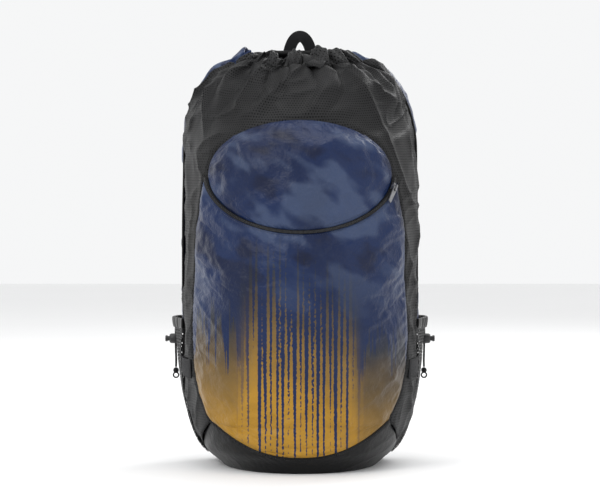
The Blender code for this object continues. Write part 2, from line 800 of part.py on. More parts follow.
# Side pockets, with the hem along the rim
def pocket_surface(height):
    """Outer face of a pocket at a height off its skin: it stands away most at the rim."""
    bottom = climb_at(pocket_bottom)
    rim = climb_at(pocket_rim)
    front = depth_way(np.array(pocket_front_depth), np.array(rim))
    rear = back_way(back_seam_width / 2, np.array(rim)) - pocket_rear_gap

    def surface(way, climb):
        side = np.where(way < 0, -1.0, 1.0)
        round_it = np.clip((np.abs(way) - front) / (rear - front), 0, 1)
        up_it = np.clip((climb - bottom) / (rim - bottom), 0, 1)
        belly = np.sin(np.pi * round_it ** 1.25) ** 0.8 * (0.10 * up_it + 0.90 * up_it**1.8)
        normal = face_normal(skin, way, climb)
        rearward = normal + np.array([0.0, pocket_rearward, 0.0])
        rearward = rearward / np.linalg.norm(rearward, axis=-1, keepdims=True)
        ripple = pocket_ripple * np.cos(7 * np.pi * round_it) * up_it * np.sin(np.pi * round_it)
        out = height + (pocket_bulge * belly + ripple)
        return skin(way, climb) + normal * height + rearward * (out - height)[..., None]
    return surface, front, rear


def side_pocket(tag, side):
    """Mesh pouch on a rear corner and the doubled hem along its rim."""
    surface, front, rear = pocket_surface(pocket_seat + cloth)
    bottom = climb_at(pocket_bottom)
    rim = climb_at(pocket_rim)
    hem_foot = climb_at(pocket_rim - hem_height)

    def strip(low, high):
        right_side = [level_run(front, rear, low, hem_step)[:-1],
                      np.column_stack([np.full(2, rear), [low, high]])[:-1],
                      level_run(rear, front, high, hem_step)]
        if high - low > 0.05:
            climbs = steps_between(low, high, seam_step)
            right_side[1] = np.column_stack([np.full(len(climbs), rear), climbs])[:-1]
            right_side.append(np.column_stack([np.full(len(climbs), front), climbs[::-1]])[1:-1])
        run = joined(*right_side)
        return run if side > 0 else mirrored_panel(run)

    cloth_panel("pocket_" + tag, strip(bottom, hem_foot), "black_mesh", surface,
                step=0.026, gathered_step=0.026)
    hem_surface = pocket_surface(pocket_seat + cloth + hem_extra)[0]
    cloth_panel("pocket_hem_" + tag, strip(hem_foot, rim), "black_satin", hem_surface,
                thickness=cloth + hem_extra, step=0.014)


for tag, side in (("right", 1.0), ("left", -1.0)):
    side_pocket(tag, side)


# Webbing across the mesh on each side, between the pouch seam and the pocket
def side_web(tag, side):
    """Flat strip of webbing sewn on the side."""
    low = climb_at(side_web_rise - side_web_width / 2)
    high = climb_at(side_web_rise + side_web_width / 2)
    front = depth_way(np.array(side_web_front), np.array(high)) + side_web_margin
    rear = depth_way(np.array(side_web_back), np.array(high))
    run = joined(level_run(front, rear, low, 0.014), level_run(rear, front, high, 0.014))
    cloth_panel("side_webbing_" + tag, run if side > 0 else mirrored_panel(run), "black_webbing",
                lifted(web_seat + webbing), thickness=webbing, step=0.014)


for tag, side in (("right", 1.0), ("left", -1.0)):
    side_web(tag, side)


# Straps and webbing, each a flat section carried along a smooth line
def across_line(line, twist=None):
    """Direction of a strap's width along its line, turned about the line by a twist."""
    tangent = np.gradient(line, axis=0)
    tangent = tangent / np.linalg.norm(tangent, axis=1, keepdims=True)
    across = np.array([1.0, 0.0, 0.0]) - tangent * tangent[:, :1]
    across = across / np.linalg.norm(across, axis=1, keepdims=True)
    face = np.cross(tangent, across)
    turn = np.zeros(len(line)) if twist is None else np.radians(twist)
    return (across * np.cos(turn)[:, None] + face * np.sin(turn)[:, None],
            face * np.cos(turn)[:, None] - across * np.sin(turn)[:, None])


def ribbon(name, line, across, face, outline, finish_name, widths=None):
    """Solid strap: a closed outline of across and face distances carried along a line, with its
    width at each row as a share of the outline's."""
    outline = np.asarray(outline, float)
    widths = np.ones(len(line)) if widths is None else widths
    rings = (line[:, None, :]
             + (across * widths[:, None])[:, None, :] * outline[None, :, :1]
             + face[:, None, :] * outline[None, :, 1:])
    count = len(outline)
    points = rings.reshape(-1, 3)
    faces = []
    for row in range(len(line) - 1):
        for k in range(count):
            after = (k + 1) % count
            faces.append((row * count + k, row * count + after,
                          (row + 1) * count + after, (row + 1) * count + k))
    faces.append(tuple(range(count))[::-1])
    faces.append(tuple((len(line) - 1) * count + k for k in range(count)))
    return add_mesh(name, points, faces, finish_name)


def flat_outline(width, thickness, low=0.0):
    """Rectangle across a strap, from a face distance up by a thickness."""
    half = width / 2
    return [(-half, low), (half, low), (half, low + thickness), (-half, low + thickness)]


def padded_outline(width, thickness):
    """Padded strap: full in the middle, with rounded edges."""
    turn = (np.arange(strap_sides) + 0.5) / strap_sides * 2 * np.pi
    return np.column_stack([
        width / 2 * np.sign(np.cos(turn)) * np.abs(np.cos(turn)) ** 0.45,
        thickness / 2 * np.sign(np.sin(turn)) * np.abs(np.sin(turn)) ** 0.7])


def strap_place(row, side):
    """World point of a strap's row."""
    foot = back_depth + clearance
    return np.array([side * row.side * strap_spacing / 2,
                     foot + row.out * strap_reach, row.rise * body_height])


def shoulder_strap(tag, side, rows):
    """Padded strap with its bright face, its lower patch and the line they follow."""
    places = [np.append(strap_place(row, side), row.twist * side) for row in rows]
    route = smooth_route(places, strap_steps)
    line = route[:, :3]
    across, face = across_line(line, route[:, 3])
    outward = -face if face[len(face) // 2, 1] < 0 else face
    near_end = np.clip((np.linspace(0, 1, strap_steps) - narrowing_start) / (1 - narrowing_start), 0, 1)
    widths = 1 - strap_narrowing * near_end**1.5
    ribbon("strap_pad_" + tag, line, across, outward, padded_outline(strap_width, strap_thickness),
           "black_satin", widths)
    top = strap_thickness / 2 + face_seat
    trimmed = slice(1, strap_steps - 2)
    ribbon("strap_face_" + tag, line[trimmed], across[trimmed], outward[trimmed],
           flat_outline(face_width, face_thickness, top), "gold_cloth", widths[trimmed])
    return line, across, outward


strap_lines = {}
for tag, side, rows in (("left", -1.0, LEFT_STRAP), ("right", 1.0, RIGHT_STRAP)):
    strap_lines[tag] = shoulder_strap(tag, side, rows)


def web_place(row, side):
    """World point of a webbing's row: out is counted from the plain back of the bag."""
    return np.array([side * row.side * strap_spacing / 2,
                     back_depth + web_stand + row.out * (strap_reach + pad_thickness),
                     row.rise * body_height])


def rear_facing(line):
    """Width direction and outward face of webbing that keeps its face to the rear."""
    tangent = np.gradient(line, axis=0)
    tangent = tangent / np.linalg.norm(tangent, axis=1, keepdims=True)
    across = np.cross(tangent, np.array([0.0, 1.0, 0.0]))
    across = across / np.linalg.norm(across, axis=1, keepdims=True)
    return across, np.cross(across, tangent)


def local_frame(line, across, outward, index):
    """Matrix of a strap's own axes at one of its points: across, down the strap, outward."""
    side = Vector(across[index])
    out = Vector(outward[index])
    down = Vector(line[index + 1] - line[index - 1] if index + 1 < len(line)
                  else line[index] - line[index - 1]).normalized()
    if side.cross(down).dot(out) < 0:
        side = -side
    frame = Matrix.Identity(4)
    for column, axis in enumerate((side, down, side.cross(down).normalized())):
        for row in range(3):
            frame[row][column] = axis[row]
    frame.translation = Vector(line[index])
    return frame


def rectangle_spline(curve, width, length, centre):
    """Closed straight-sided spline in a flat curve."""
    corners = [(-1, -1), (1, -1), (1, 1), (-1, 1)]
    spline = curve.splines.new("POLY")
    spline.points.add(3)
    for point, (a, b) in zip(spline.points, corners):
        point.co = (a * width / 2, centre + b * length / 2, 0.0, 1.0)
    spline.use_cyclic_u = True


def buckle(tag):
    """Ladder-lock buckle below the strap's end: a flat frame with its bars left between slots."""
    line, across, outward = strap_lines[tag]
    frame = local_frame(line, across, outward, len(line) - 1)
    curve = bpy.data.curves.new("buckle_" + tag, "CURVE")
    curve.dimensions = "2D"
    curve.fill_mode = "BOTH"
    curve.extrude = buckle_thickness / 2
    curve.render_resolution_u = 0
    rectangle_spline(curve, buckle_width, buckle_length, 0.0)
    slot = (buckle_length - (buckle_slots + 1) * buckle_bar) / buckle_slots
    for k in range(buckle_slots):
        centre = -buckle_length / 2 + buckle_bar + slot / 2 + k * (slot + buckle_bar)
        rectangle_spline(curve, buckle_width - 2 * buckle_bar, slot, centre)
    piece = add_object("buckle_" + tag, curve, "black_plastic")
    drop = buckle_length / 2 + clearance
    piece.matrix_world = frame @ Matrix.Translation((0.0, drop, 0.0))
    return frame, drop


def strap_patch(tag):
    """Doubled webbing sewn over the strap's lower end, which holds the buckle."""
    line, across, outward = strap_lines[tag]
    spans = np.linalg.norm(np.diff(line, axis=0), axis=1).mean()
    rows = slice(len(line) - 2 - max(2, int(patch_length / spans)), len(line) - 1)
    ribbon("strap_patch_" + tag, line[rows], across[rows], outward[rows],
           flat_outline(patch_width, webbing,
                        strap_thickness / 2 + face_thickness + 2 * face_seat), "black_webbing")


def lower_webbing(tag, side, rows, tail_rows):
    """Webbing from the buckle to the lower corner of the back, and its hanging free end."""
    frame, drop = buckle(tag)
    strap_patch(tag)
    end = drop + buckle_length / 2 + clearance
    foot = [np.array(frame @ Vector((0.0, end + run, 0.0))) for run in (0.0, web_straight)]
    web_line = smooth_route(foot + [web_place(row, side) for row in rows[1:]], web_steps)
    across, face = rear_facing(web_line)
    ribbon("lower_webbing_" + tag, web_line, across, face, flat_outline(web_width, webbing),
           "black_webbing")
    behind = frame @ Vector((0.0, end + webbing, buckle_thickness / 2 + tail_stand))
    tail_line = smooth_route([np.array(behind)] + [web_place(row, side) for row in tail_rows[1:]],
                             web_steps)
    across, face = across_line(tail_line)
    ribbon("strap_tail_" + tag, tail_line, across, face, flat_outline(web_width, webbing),
           "black_webbing")


for tag, side, rows, tail_rows in (("left", -1.0, LEFT_LOWER_WEB, LEFT_TAIL),
                                   ("right", 1.0, RIGHT_LOWER_WEB, RIGHT_TAIL)):
    lower_webbing(tag, side, rows, tail_rows)


# Haul loop
def haul_loop():
    """Folded webbing loop standing on the top of the back, its face to the rear."""
    turn = np.linspace(-1, 1, loop_steps)
    reach = (loop_width - loop_band) / 2
    rise = loop_height - loop_band / 2
    x = reach * np.sin(turn * np.pi / 2) * (1 - 0.18 * (1 - np.abs(turn)))
    z = loop_foot * body_height + rise * (1 - np.abs(turn) ** 2.2)
    climb = climb_at(np.minimum(z, body_height * 0.995))
    panel_face = skin(back_way(np.abs(x), climb), climb)[:, 1]
    y = panel_face + web_seat + loop_thickness / 2 - loop_lean * ((z - z.min()) / rise) ** 2
    line = np.column_stack([x, y, z])
    across, face = rear_facing(line)
    ribbon("haul_loop", line, across, face,
           flat_outline(loop_band, loop_thickness, -loop_thickness / 2), "black_webbing")


haul_loop()


# Keeper of the sternum strap on the left strap, and its free end
def flat_piece(name, splines, thickness, finish_name, matrix):
    """Flat outline, with its openings, given a thickness and put in place."""
    curve = bpy.data.curves.new(name, "CURVE")
    curve.dimensions = "2D"
    curve.fill_mode = "BOTH"
    curve.extrude = thickness / 2
    curve.render_resolution_u = 0
    for corners in splines:
        spline = curve.splines.new("POLY")
        spline.points.add(len(corners) - 1)
        for point, (a, b) in zip(spline.points, corners):
            point.co = (a, b, 0.0, 1.0)
        spline.use_cyclic_u = True
    piece = add_object(name, curve, finish_name)
    piece.matrix_world = matrix
    return piece


def sternum_keeper():
    """Three-cornered keeper on the outer face of the left strap and the webbing in it."""
    line, across, outward = strap_lines["left"]
    index = int(np.argmin(np.abs(line[:, 2] - keeper_rise)))
    frame = local_frame(line, across, outward, index)
    seat = strap_thickness / 2 + face_thickness + 2 * face_seat
    outer = [(0.0, -keeper_length / 2), (keeper_reach, keeper_length * 0.18),
             (keeper_reach * 0.45, keeper_length / 2), (0.0, keeper_length / 2)]
    wall = keeper_wall
    hole = [(wall, -keeper_length / 2 + 3.2 * wall), (keeper_reach - 1.5 * wall, keeper_length * 0.18),
            (keeper_reach * 0.45, keeper_length / 2 - wall), (wall, keeper_length / 2 - wall)]
    turn = Matrix(((0, 0, 1, 0), (0, 1, 0, 0), (1, 0, 0, 0), (0, 0, 0, 1)))
    place = frame @ Matrix.Translation((0.0, 0.0, seat)) @ turn
    flat_piece("sternum_keeper", [outer, hole], keeper_width, "black_plastic", place)
    top = np.array(frame @ Vector((0.0, keeper_length / 2 + clearance, seat + keeper_reach * 0.3)))
    fall = np.linspace(0, 1, 9)
    tail = np.column_stack([np.full(9, top[0]), top[1] - 0.006 * np.sin(fall * 2.4),
                            top[2] - keeper_tail_length * fall])
    across_tail, face_tail = across_line(tail)
    ribbon("sternum_tail", tail, across_tail, face_tail, flat_outline(keeper_width, webbing),
           "black_webbing")


sternum_keeper()


# Pocket cords: the cord, its sprung lock and the knot at its end
def as_cutter(piece):
    """Keep a cutter, or the second half of a union, out of the bag itself."""
    piece.hide_render = True
    piece.display_type = "WIRE"
    for group in list(piece.users_collection):
        group.objects.unlink(piece)
    cutters.objects.link(piece)


def combine(piece, other, how):
    """Boolean of a piece with another object, kept live."""
    step = piece.modifiers.new(how.lower(), "BOOLEAN")
    step.operation = how
    step.solver = "EXACT"
    step.object = other
    as_cutter(other)


def turned(name, profile, finish_name, matrix):
    """Turned piece: a profile of (radius, height) rows, outer side from top to bottom."""
    data = bpy.data.meshes.new(name)
    rows = [(radius, 0.0, height) for radius, height in profile]
    data.from_pydata(rows, [(k, k + 1) for k in range(len(rows) - 1)], [])
    piece = add_object(name, data, finish_name)
    screw = piece.modifiers.new("turn", "SCREW")
    screw.steps = lock_sides
    screw.render_steps = lock_sides
    screw.use_merge_vertices = True
    screw.merge_threshold = 0.00005
    piece.matrix_world = matrix
    return piece


def cord_lock(tag, side):
    """Barrel with a cross bore for the cord and a socket for its sprung button."""
    row = CORD_ROUTE[cord_lock_row]
    centre = Vector((side * row.side, row.rear, cord_lock_rise))
    outward = Matrix.Rotation(side * math.pi / 2, 4, "Y")
    place = Matrix.Translation(centre) @ outward
    bore = cord_diameter / 2 + clearance
    socket = button_radius + clearance
    profile = [(0.0, lock_wall), (socket, lock_wall), (socket, lock_outer_end),
               (lock_radius * 0.78, lock_outer_end), (lock_radius * 0.95, lock_outer_end * 0.80),
               (lock_radius, lock_outer_end * 0.40), (lock_radius, 0.0),
               (lock_radius * 0.90, -lock_inner_end * 0.50),
               (lock_radius * 0.60, -lock_inner_end * 0.88), (0.0, -lock_inner_end)]
    barrel = turned("cord_lock_" + tag, profile, "black_plastic", place)
    bpy.ops.mesh.primitive_cylinder_add(vertices=12, radius=bore, depth=4 * lock_radius,
                                        location=centre)
    combine(barrel, bpy.context.object, "DIFFERENCE")
    stem_foot = lock_wall + button_travel + clearance
    shoulder = lock_outer_end + button_travel + clearance
    top = shoulder + button_cap
    button = [(0.0, top), (button_cap_radius * 0.8, top),
              (button_cap_radius, top - button_cap * 0.25), (button_cap_radius, shoulder),
              (button_radius, shoulder), (button_radius, stem_foot), (0.0, stem_foot)]
    turned("lock_button_" + tag, button, "black_plastic", place)


def pocket_cord(tag, side):
    """Cord from the hem down through its lock, and the knot with its small loop."""
    eyelet, *places = [(side * row.side, row.rear, row.rise) for row in (cord_eyelet, *CORD_ROUTE)]
    hem = bag.objects["pocket_hem_" + tag].data
    tree = BVHTree.FromPolygons([vertex.co for vertex in hem.vertices],
                                [face.vertices[:] for face in hem.polygons])
    foot, outward, _, _ = tree.find_nearest(Vector(eyelet))
    runs = [foot + outward * (clearance + run) for run in (0.0, eyelet_run)]
    route = smooth_route([tuple(point) for point in runs] + places, cord_steps)
    curve = bpy.data.curves.new("pocket_cord_" + tag, "CURVE")
    curve.dimensions = "3D"
    curve.bevel_depth = cord_diameter / 2
    curve.bevel_resolution = 2
    curve.use_fill_caps = True
    curve.render_resolution_u = 0
    spline = curve.splines.new("POLY")
    spline.points.add(len(route) - 1)
    for point, place in zip(spline.points, route):
        point.co = (*place, 1.0)
    add_object("pocket_cord_" + tag, curve, "black_webbing")
    end = Vector(route[-1])
    centre = end - Vector((0.0, 0.0, clearance + knot_radius))
    bpy.ops.mesh.primitive_uv_sphere_add(segments=10, ring_count=6, radius=knot_radius,
                                         location=centre)
    knot = bpy.context.object
    knot.name = "cord_knot_" + tag
    knot.data.materials.append(finish("black_webbing"))
    knot.data.shade_smooth()
    for group in list(knot.users_collection):
        group.objects.unlink(knot)
    bag.objects.link(knot)
    hang = knot_radius + knot_loop_radius - knot_loop_wire
    bpy.ops.mesh.primitive_torus_add(major_segments=12, minor_segments=5,
                                     major_radius=knot_loop_radius, minor_radius=knot_loop_wire,
                                     location=centre - Vector((0.0, 0.0, hang)),
                                     rotation=(math.pi / 2, 0.0, 0.0))
    combine(knot, bpy.context.object, "UNION")


for tag, side in (("right", 1.0), ("left", -1.0)):
    cord_lock(tag, side)
    pocket_cord(tag, side)


# Zip slider with its bridge, and the pull that swings on it
def slider_frame():
    """Axes of the slider on the tape: down the zip, across it and outwards."""
    place = oval(flap_width + tape_side, flap_height + tape_middle, np.array([slider_place]))
    ahead = oval(flap_width + tape_side, flap_height + tape_middle,
                 np.array([slider_place - 0.05]))
    way, climb = place.T
    here = skin(way, climb)[0]
    out = face_normal(skin, way, climb)[0]
    along = skin(*ahead.T)[0] - here
    along = along - out * np.dot(along, out)
    along = along / np.linalg.norm(along)
    across = np.cross(out, along)
    frame = Matrix.Identity(4)
    for column, axis in enumerate((along, across, out)):
        for row in range(3):
            frame[row][column] = axis[row]
    frame.translation = Vector(here + out * web_seat)
    return frame


def zip_slider():
    """Slider body with a bridge over the top, as one solid."""
    frame = slider_frame()
    bpy.ops.mesh.primitive_cube_add(size=1.0)
    body = bpy.context.object
    body.name = "zip_slider"
    body.data.materials.append(finish("dark_metal"))
    body.data.transform(Matrix.Translation((0.0, 0.0, slider_height / 2))
                        @ Matrix.Diagonal((slider_length, slider_width, slider_height, 1.0)))
    for group in list(body.users_collection):
        group.objects.unlink(body)
    bag.objects.link(body)
    half = bridge_length / 2
    low = slider_height - bridge_root
    high = slider_height + bridge_space
    outline = [(-half, low), (-half, high + bridge_wall), (half, high + bridge_wall), (half, low),
               (half - bridge_wall, low), (half - bridge_wall, high),
               (bridge_wall - half, high), (bridge_wall - half, low)]
    count = len(outline)
    points = [(x, y * bridge_width / 2, z) for y in (-1, 1) for x, z in outline]
    faces = [tuple(range(count)), tuple(range(2 * count - 1, count - 1, -1))]
    faces += [((k + 1) % count, k, count + k, count + (k + 1) % count) for k in range(count)]
    bridge = add_mesh("zip_bridge", points, faces, "dark_metal", smooth=False)
    combine(body, bridge, "UNION")
    body.matrix_world = frame
    bridge.matrix_world = frame
    bar = frame @ Matrix.Translation((0.0, 0.0, slider_height + bridge_space / 2))
    outer = [(-pull_bar / 2, -pull_width / 2), (pull_length, -pull_width * 0.36),
             (pull_length, pull_width * 0.36), (-pull_bar / 2, pull_width / 2)]
    window = pull_width / 2 - pull_rail
    hole = [(pull_bar / 2, -window), (pull_bar / 2 + pull_window, -window),
            (pull_bar / 2 + pull_window, window), (pull_bar / 2, window)]
    flat_piece("zip_pull", [outer, hole], pull_thickness, "dark_metal", bar)


zip_slider()
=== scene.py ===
# Looks of the softball gear bag: coated print, knitted mesh, webbing, padding and fittings.
import math

import bpy
import numpy as np
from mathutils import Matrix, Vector


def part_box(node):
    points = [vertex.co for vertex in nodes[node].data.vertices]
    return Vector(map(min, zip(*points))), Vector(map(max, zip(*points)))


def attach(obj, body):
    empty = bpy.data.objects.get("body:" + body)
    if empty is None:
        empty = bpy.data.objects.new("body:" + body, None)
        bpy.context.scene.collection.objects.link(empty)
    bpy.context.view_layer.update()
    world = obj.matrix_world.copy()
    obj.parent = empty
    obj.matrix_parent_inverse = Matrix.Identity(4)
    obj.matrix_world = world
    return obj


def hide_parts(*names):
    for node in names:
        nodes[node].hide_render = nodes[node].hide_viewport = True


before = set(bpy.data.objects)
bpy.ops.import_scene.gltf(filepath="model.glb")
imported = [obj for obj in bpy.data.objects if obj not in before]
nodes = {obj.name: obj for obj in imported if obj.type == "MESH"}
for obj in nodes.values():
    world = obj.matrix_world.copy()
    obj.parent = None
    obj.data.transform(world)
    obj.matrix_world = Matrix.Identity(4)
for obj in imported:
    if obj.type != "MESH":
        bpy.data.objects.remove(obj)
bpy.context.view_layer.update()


# Camera and lights. The bag stands in a plain soft studio and is seen straight from the front,
# through a long lens from just above its middle.
aim = Vector((0.0, 0.02, 0.297))
view_distance = 4.2
view_height = 0.12
frame_height = 0.665
picture = (600, 491)
camera_data = bpy.data.cameras.new("camera")
camera_data.sensor_width = 36.0
camera_data.lens = 36.0 * view_distance / (frame_height * picture[0] / picture[1])
camera = bpy.data.objects.new("camera", camera_data)
camera.location = aim + Vector((0.0, -view_distance, view_height))
camera.rotation_euler = (aim - camera.location).to_track_quat("-Z", "Y").to_euler()
bpy.context.scene.collection.objects.link(camera)
bpy.context.scene.camera = camera


def soft_light(name, place, width, power):
    """Square area light of a width at a place, turned to the bag's middle."""
    data = bpy.data.lights.new(name, "AREA")
    data.size = width
    data.energy = power
    light = bpy.data.objects.new(name, data)
    light.location = place
    light.rotation_euler = (aim - light.location).to_track_quat("-Z", "Y").to_euler()
    bpy.context.scene.collection.objects.link(light)


soft_light("key", (-1.5, -2.0, 2.0), 1.2, 30)
soft_light("fill", (2.0, -1.6, 0.9), 1.6, 8)
soft_light("back_key", (1.3, 2.2, 1.9), 1.2, 30)
soft_light("back_fill", (-2.0, 1.7, 0.8), 1.6, 8)
soft_light("top", (0.0, 0.1, 2.4), 1.2, 12)
bpy.context.scene.view_settings.view_transform = "Standard"
world = bpy.data.worlds.new("studio")
world.use_nodes = True
studio_white = world.node_tree.nodes["Background"].inputs
studio_white["Color"].default_value = (0.97, 0.975, 0.98, 1.0)
studio_white["Strength"].default_value = 0.95
bpy.context.scene.world = world


# The dyer's tools, and the two pocket cords: braided black cord, 3 mm, out of an eyelet in the
# hem of each pocket, down through a sprung lock and into a knot with a small loop.
class Thread:
    """A number that changes over a surface; each operator lays one Math node."""

    def __init__(self, dye, socket):
        self.dye = dye
        self.socket = socket

    def math(self, operation, *others):
        """Math node of an operation on this value and the others."""
        values = dict(enumerate((self, *others)))
        return self.dye.node("Math", {"operation": operation}, values)

    def __add__(self, other): return self.math("ADD", other)
    def __radd__(self, other): return self.math("ADD", other)
    def __mul__(self, other): return self.math("MULTIPLY", other)
    def __sub__(self, other): return self.math("SUBTRACT", other)
    def __rsub__(self, other): return (self * -1.0).math("ADD", other)
    def __truediv__(self, other): return self.math("DIVIDE", other)
    def __pow__(self, other): return self.math("POWER", other)
    def __abs__(self): return self.math("ABSOLUTE")

    def sine(self): return self.math("SINE")
    def part(self): return self.math("FRACT")
    def whole(self): return self.math("FLOOR")
    def most(self, other): return self.math("MAXIMUM", other)

    def step(self, low, high):
        """Smooth step: 0 below low, 1 above high."""
        return self.dye.node("MapRange", {"interpolation_type": "SMOOTHSTEP"},
                             {"Value": self, "From Min": low, "From Max": high})


class Dye:
    """One material: a Principled shader and the nodes that colour and roughen it."""

    def __init__(self, name, colour, roughness, metallic=0.0, sheen=0.0, shine=0.2):
        self.material = bpy.data.materials.new(name)
        self.material.use_nodes = True
        self.tree = self.material.node_tree
        self.shader = self.tree.nodes["Principled BSDF"]
        self.wet("Base Color", (*colour, 1.0))
        self.wet("Roughness", roughness)
        self.wet("Metallic", metallic)
        self.wet("Sheen Weight", sheen)
        self.wet("Specular IOR Level", shine)

    def wet(self, socket, value):
        """Give one of the shader's sockets a value or a link."""
        self.join(self.shader.inputs[socket], value)

    def join(self, socket, value):
        """Link a thread to a socket, or set the socket's own value."""
        if isinstance(value, Thread):
            self.tree.links.new(value.socket, socket)
        else:
            socket.default_value = value

    def node(self, kind, settings, inputs, output=0):
        """Any node: its settings first, then the values or links of its sockets."""
        made = self.tree.nodes.new("ShaderNode" + kind)
        for key, value in settings.items():
            if key == "stops":
                ramp = made.color_ramp.elements
                ramp.remove(ramp[1])
                ramp[0].position = value[0][0]
                ramp[0].color = (*value[0][1], 1.0)
                for place, colour in value[1:]:
                    ramp.new(place).color = (*colour, 1.0)
            else:
                setattr(made, key, value)
        for key, value in inputs.items():
            self.join(made.inputs[key], value)
        return Thread(self, made.outputs[output])

    def place(self):
        """The point of the surface in metres: across, deep and high."""
        whole = self.node("TexCoord", {}, {}, 3)
        return [self.node("SeparateXYZ", {}, {0: whole}, k) for k in range(3)]

    def weave(self):
        """The two ways along the cloth, in metres, from the piece's own map."""
        whole = self.node("UVMap", {"uv_map": "cloth"}, {})
        return [self.node("SeparateXYZ", {}, {0: whole}, k) for k in range(2)]

    def noise(self, across, deep, high, scale=1.0, detail=2.0, rough=0.5):
        """Smooth noise at a point, each coordinate already scaled."""
        point = self.node("CombineXYZ", {}, {0: across, 1: deep, 2: high})
        return self.node("TexNoise", {}, {"Vector": point, "Scale": scale, "Detail": detail,
                                          "Roughness": rough})

    def shade(self, factor, first, second, how="MIX"):
        """Mix of two colours by a factor."""
        ends = [value if isinstance(value, Thread) else (*value, 1.0) for value in (first, second)]
        return self.node("Mix", {"data_type": "RGBA", "blend_type": how},
                         {0: factor, 6: ends[0], 7: ends[1]}, 2)

    def emboss(self, height, depth, strength=1.0):
        """Raise the surface by a height of 0 to 1 times a depth in metres."""
        self.wet("Normal", self.node("Bump", {}, {"Height": height, "Distance": depth,
                                                  "Strength": strength}))


def lit(colour, share):
    """A colour made darker or lighter by a share."""
    return tuple(share * part for part in colour)


def braid_dye(name, pitch, bright=1.0):
    """Braided or woven black: slanted ribs, the product of two sines of a pitch along the two
    diagonals of the piece's map."""
    dye = Dye(name, (0.012, 0.012, 0.013), 0.72)
    u, v = dye.weave()
    wave = 2 * math.pi / pitch
    ribs = ((u + v) * wave).sine() * ((u - v) * wave).sine()
    fuzz = dye.noise(u, v, 0.0, 2400.0)
    dye.wet("Base Color", dye.shade(ribs * 0.35 + fuzz * 0.5, lit((0.003, 0.003, 0.0035), bright),
                                    lit((0.022, 0.022, 0.024), bright)))
    dye.emboss(ribs * 0.5 + 0.5, 0.0006)
    return dye.material


def lengths_along(line):
    """Way along a line at each of its points: the running sum of its steps."""
    return np.concatenate([[0.0], np.cumsum(np.linalg.norm(np.diff(line, axis=0), axis=1))])


def read_along(line, ways, wanted):
    """Points of a line at the wanted ways, straight between its own points."""
    return np.column_stack([np.interp(wanted, ways, column) for column in line.T])


def unit(vectors):
    """Vectors over their own lengths."""
    return vectors / np.maximum(np.linalg.norm(vectors, axis=-1, keepdims=True), 1e-12)


def quads(grid):
    """Corners of each cell of a grid, in turn."""
    return np.stack([grid[:-1, :-1], grid[:-1, 1:], grid[1:, 1:], grid[1:, :-1]], axis=2)


def add_grid(name, points, material, uv=None, wrap=False, ends=False):
    """Mesh of a grid of points, rows by columns, with its map in metres. wrap joins the last
    column to the first, and ends closes the first and last rows of a tube with a fan."""
    rows, columns = points.shape[:2]
    index = np.arange(rows * columns).reshape(rows, columns)
    if wrap:
        index = np.column_stack([index, index[:, 0]])
    if uv is None:
        rings = np.concatenate([points, points[:, :1]], axis=1) if wrap else points
        steps = np.linalg.norm(np.diff(rings, axis=1), axis=2)
        across = np.concatenate([[0.0], np.cumsum(steps, axis=1).mean(axis=0)])
        uv = np.stack(np.meshgrid(across, lengths_along(points.mean(axis=1))), axis=-1)
    faces, maps = quads(index).reshape(-1, 4).tolist(), quads(uv).reshape(-1, 2)
    flat = points.reshape(-1, 3)
    if ends:
        middles = len(flat) + np.arange(2)
        flat = np.vstack([flat, points[[0, -1]].mean(axis=1)])
        for row, turn in ((0, 1), (-1, -1)):
            rim = [index[row, 1:], index[row, :-1]][::turn]
            faces += np.column_stack([*rim, np.full(columns, middles[row])]).tolist()
            spots = [uv[row, 1:], uv[row, :-1]][::turn]
            spots.append(np.broadcast_to(uv[row].mean(axis=0), spots[0].shape))
            maps = np.vstack([maps, np.stack(spots, axis=1).reshape(-1, 2)])
    data = bpy.data.meshes.new(name)
    data.from_pydata(flat.tolist(), [], faces)
    data.uv_layers.new(name="cloth").data.foreach_set("uv", maps.astype(np.float32).ravel())
    data.shade_smooth()
    data.materials.append(material)
    piece = bpy.data.objects.new(name, data)
    bpy.context.scene.collection.objects.link(piece)
    return piece


def smooth_line(points, count):
    """Centripetal Catmull-Rom curve through points, at an even spacing along xyz."""
    points = np.asarray(points, float)
    apart = np.linalg.norm(np.diff(points[:, :3], axis=0), axis=1) ** 0.5
    knots = np.concatenate([[0.0], np.cumsum(apart)])
    fine = np.linspace(0, knots[-1], 40 * len(points))
    padded = np.vstack([2 * points[0] - points[1], points, 2 * points[-1] - points[-2]])
    times = np.concatenate([[knots[0] - apart[0]], knots, [knots[-1] + apart[-1]]])
    cell = np.clip(np.searchsorted(knots, fine, side="right") - 1, 0, len(points) - 2)
    t0, t1, t2, t3 = (times[cell + k][:, None] for k in range(4))
    p0, p1, p2, p3 = (padded[cell + k] for k in range(4))
    t = fine[:, None]
    a1 = ((t1 - t) * p0 + (t - t0) * p1) / (t1 - t0)
    a2 = ((t2 - t) * p1 + (t - t1) * p2) / (t2 - t1)
    a3 = ((t3 - t) * p2 + (t - t2) * p3) / (t3 - t2)
    b1 = ((t2 - t) * a1 + (t - t0) * a2) / (t2 - t0)
    b2 = ((t3 - t) * a2 + (t - t1) * a3) / (t3 - t1)
    line = ((t2 - t) * b1 + (t - t1) * b2) / (t2 - t1)
    along = lengths_along(line[:, :3])
    return read_along(line, along, np.linspace(0, along[-1], count))


def round_tube(line, radius, sides):
    """Rings of a tube along a line: circles square to it, set out from the axis of the frame that
    the line runs along least."""
    tangent = unit(np.gradient(line, axis=0))
    start = np.eye(3)[np.argmin(np.abs(tangent).max(axis=0))]
    across = unit(start - tangent * (tangent @ start)[:, None])
    other = np.cross(tangent, across)
    turn = (np.arange(sides) / sides * 2 * np.pi)[None, :, None]
    return line[:, None] + radius * (across[:, None] * np.cos(turn) + other[:, None] * np.sin(turn))


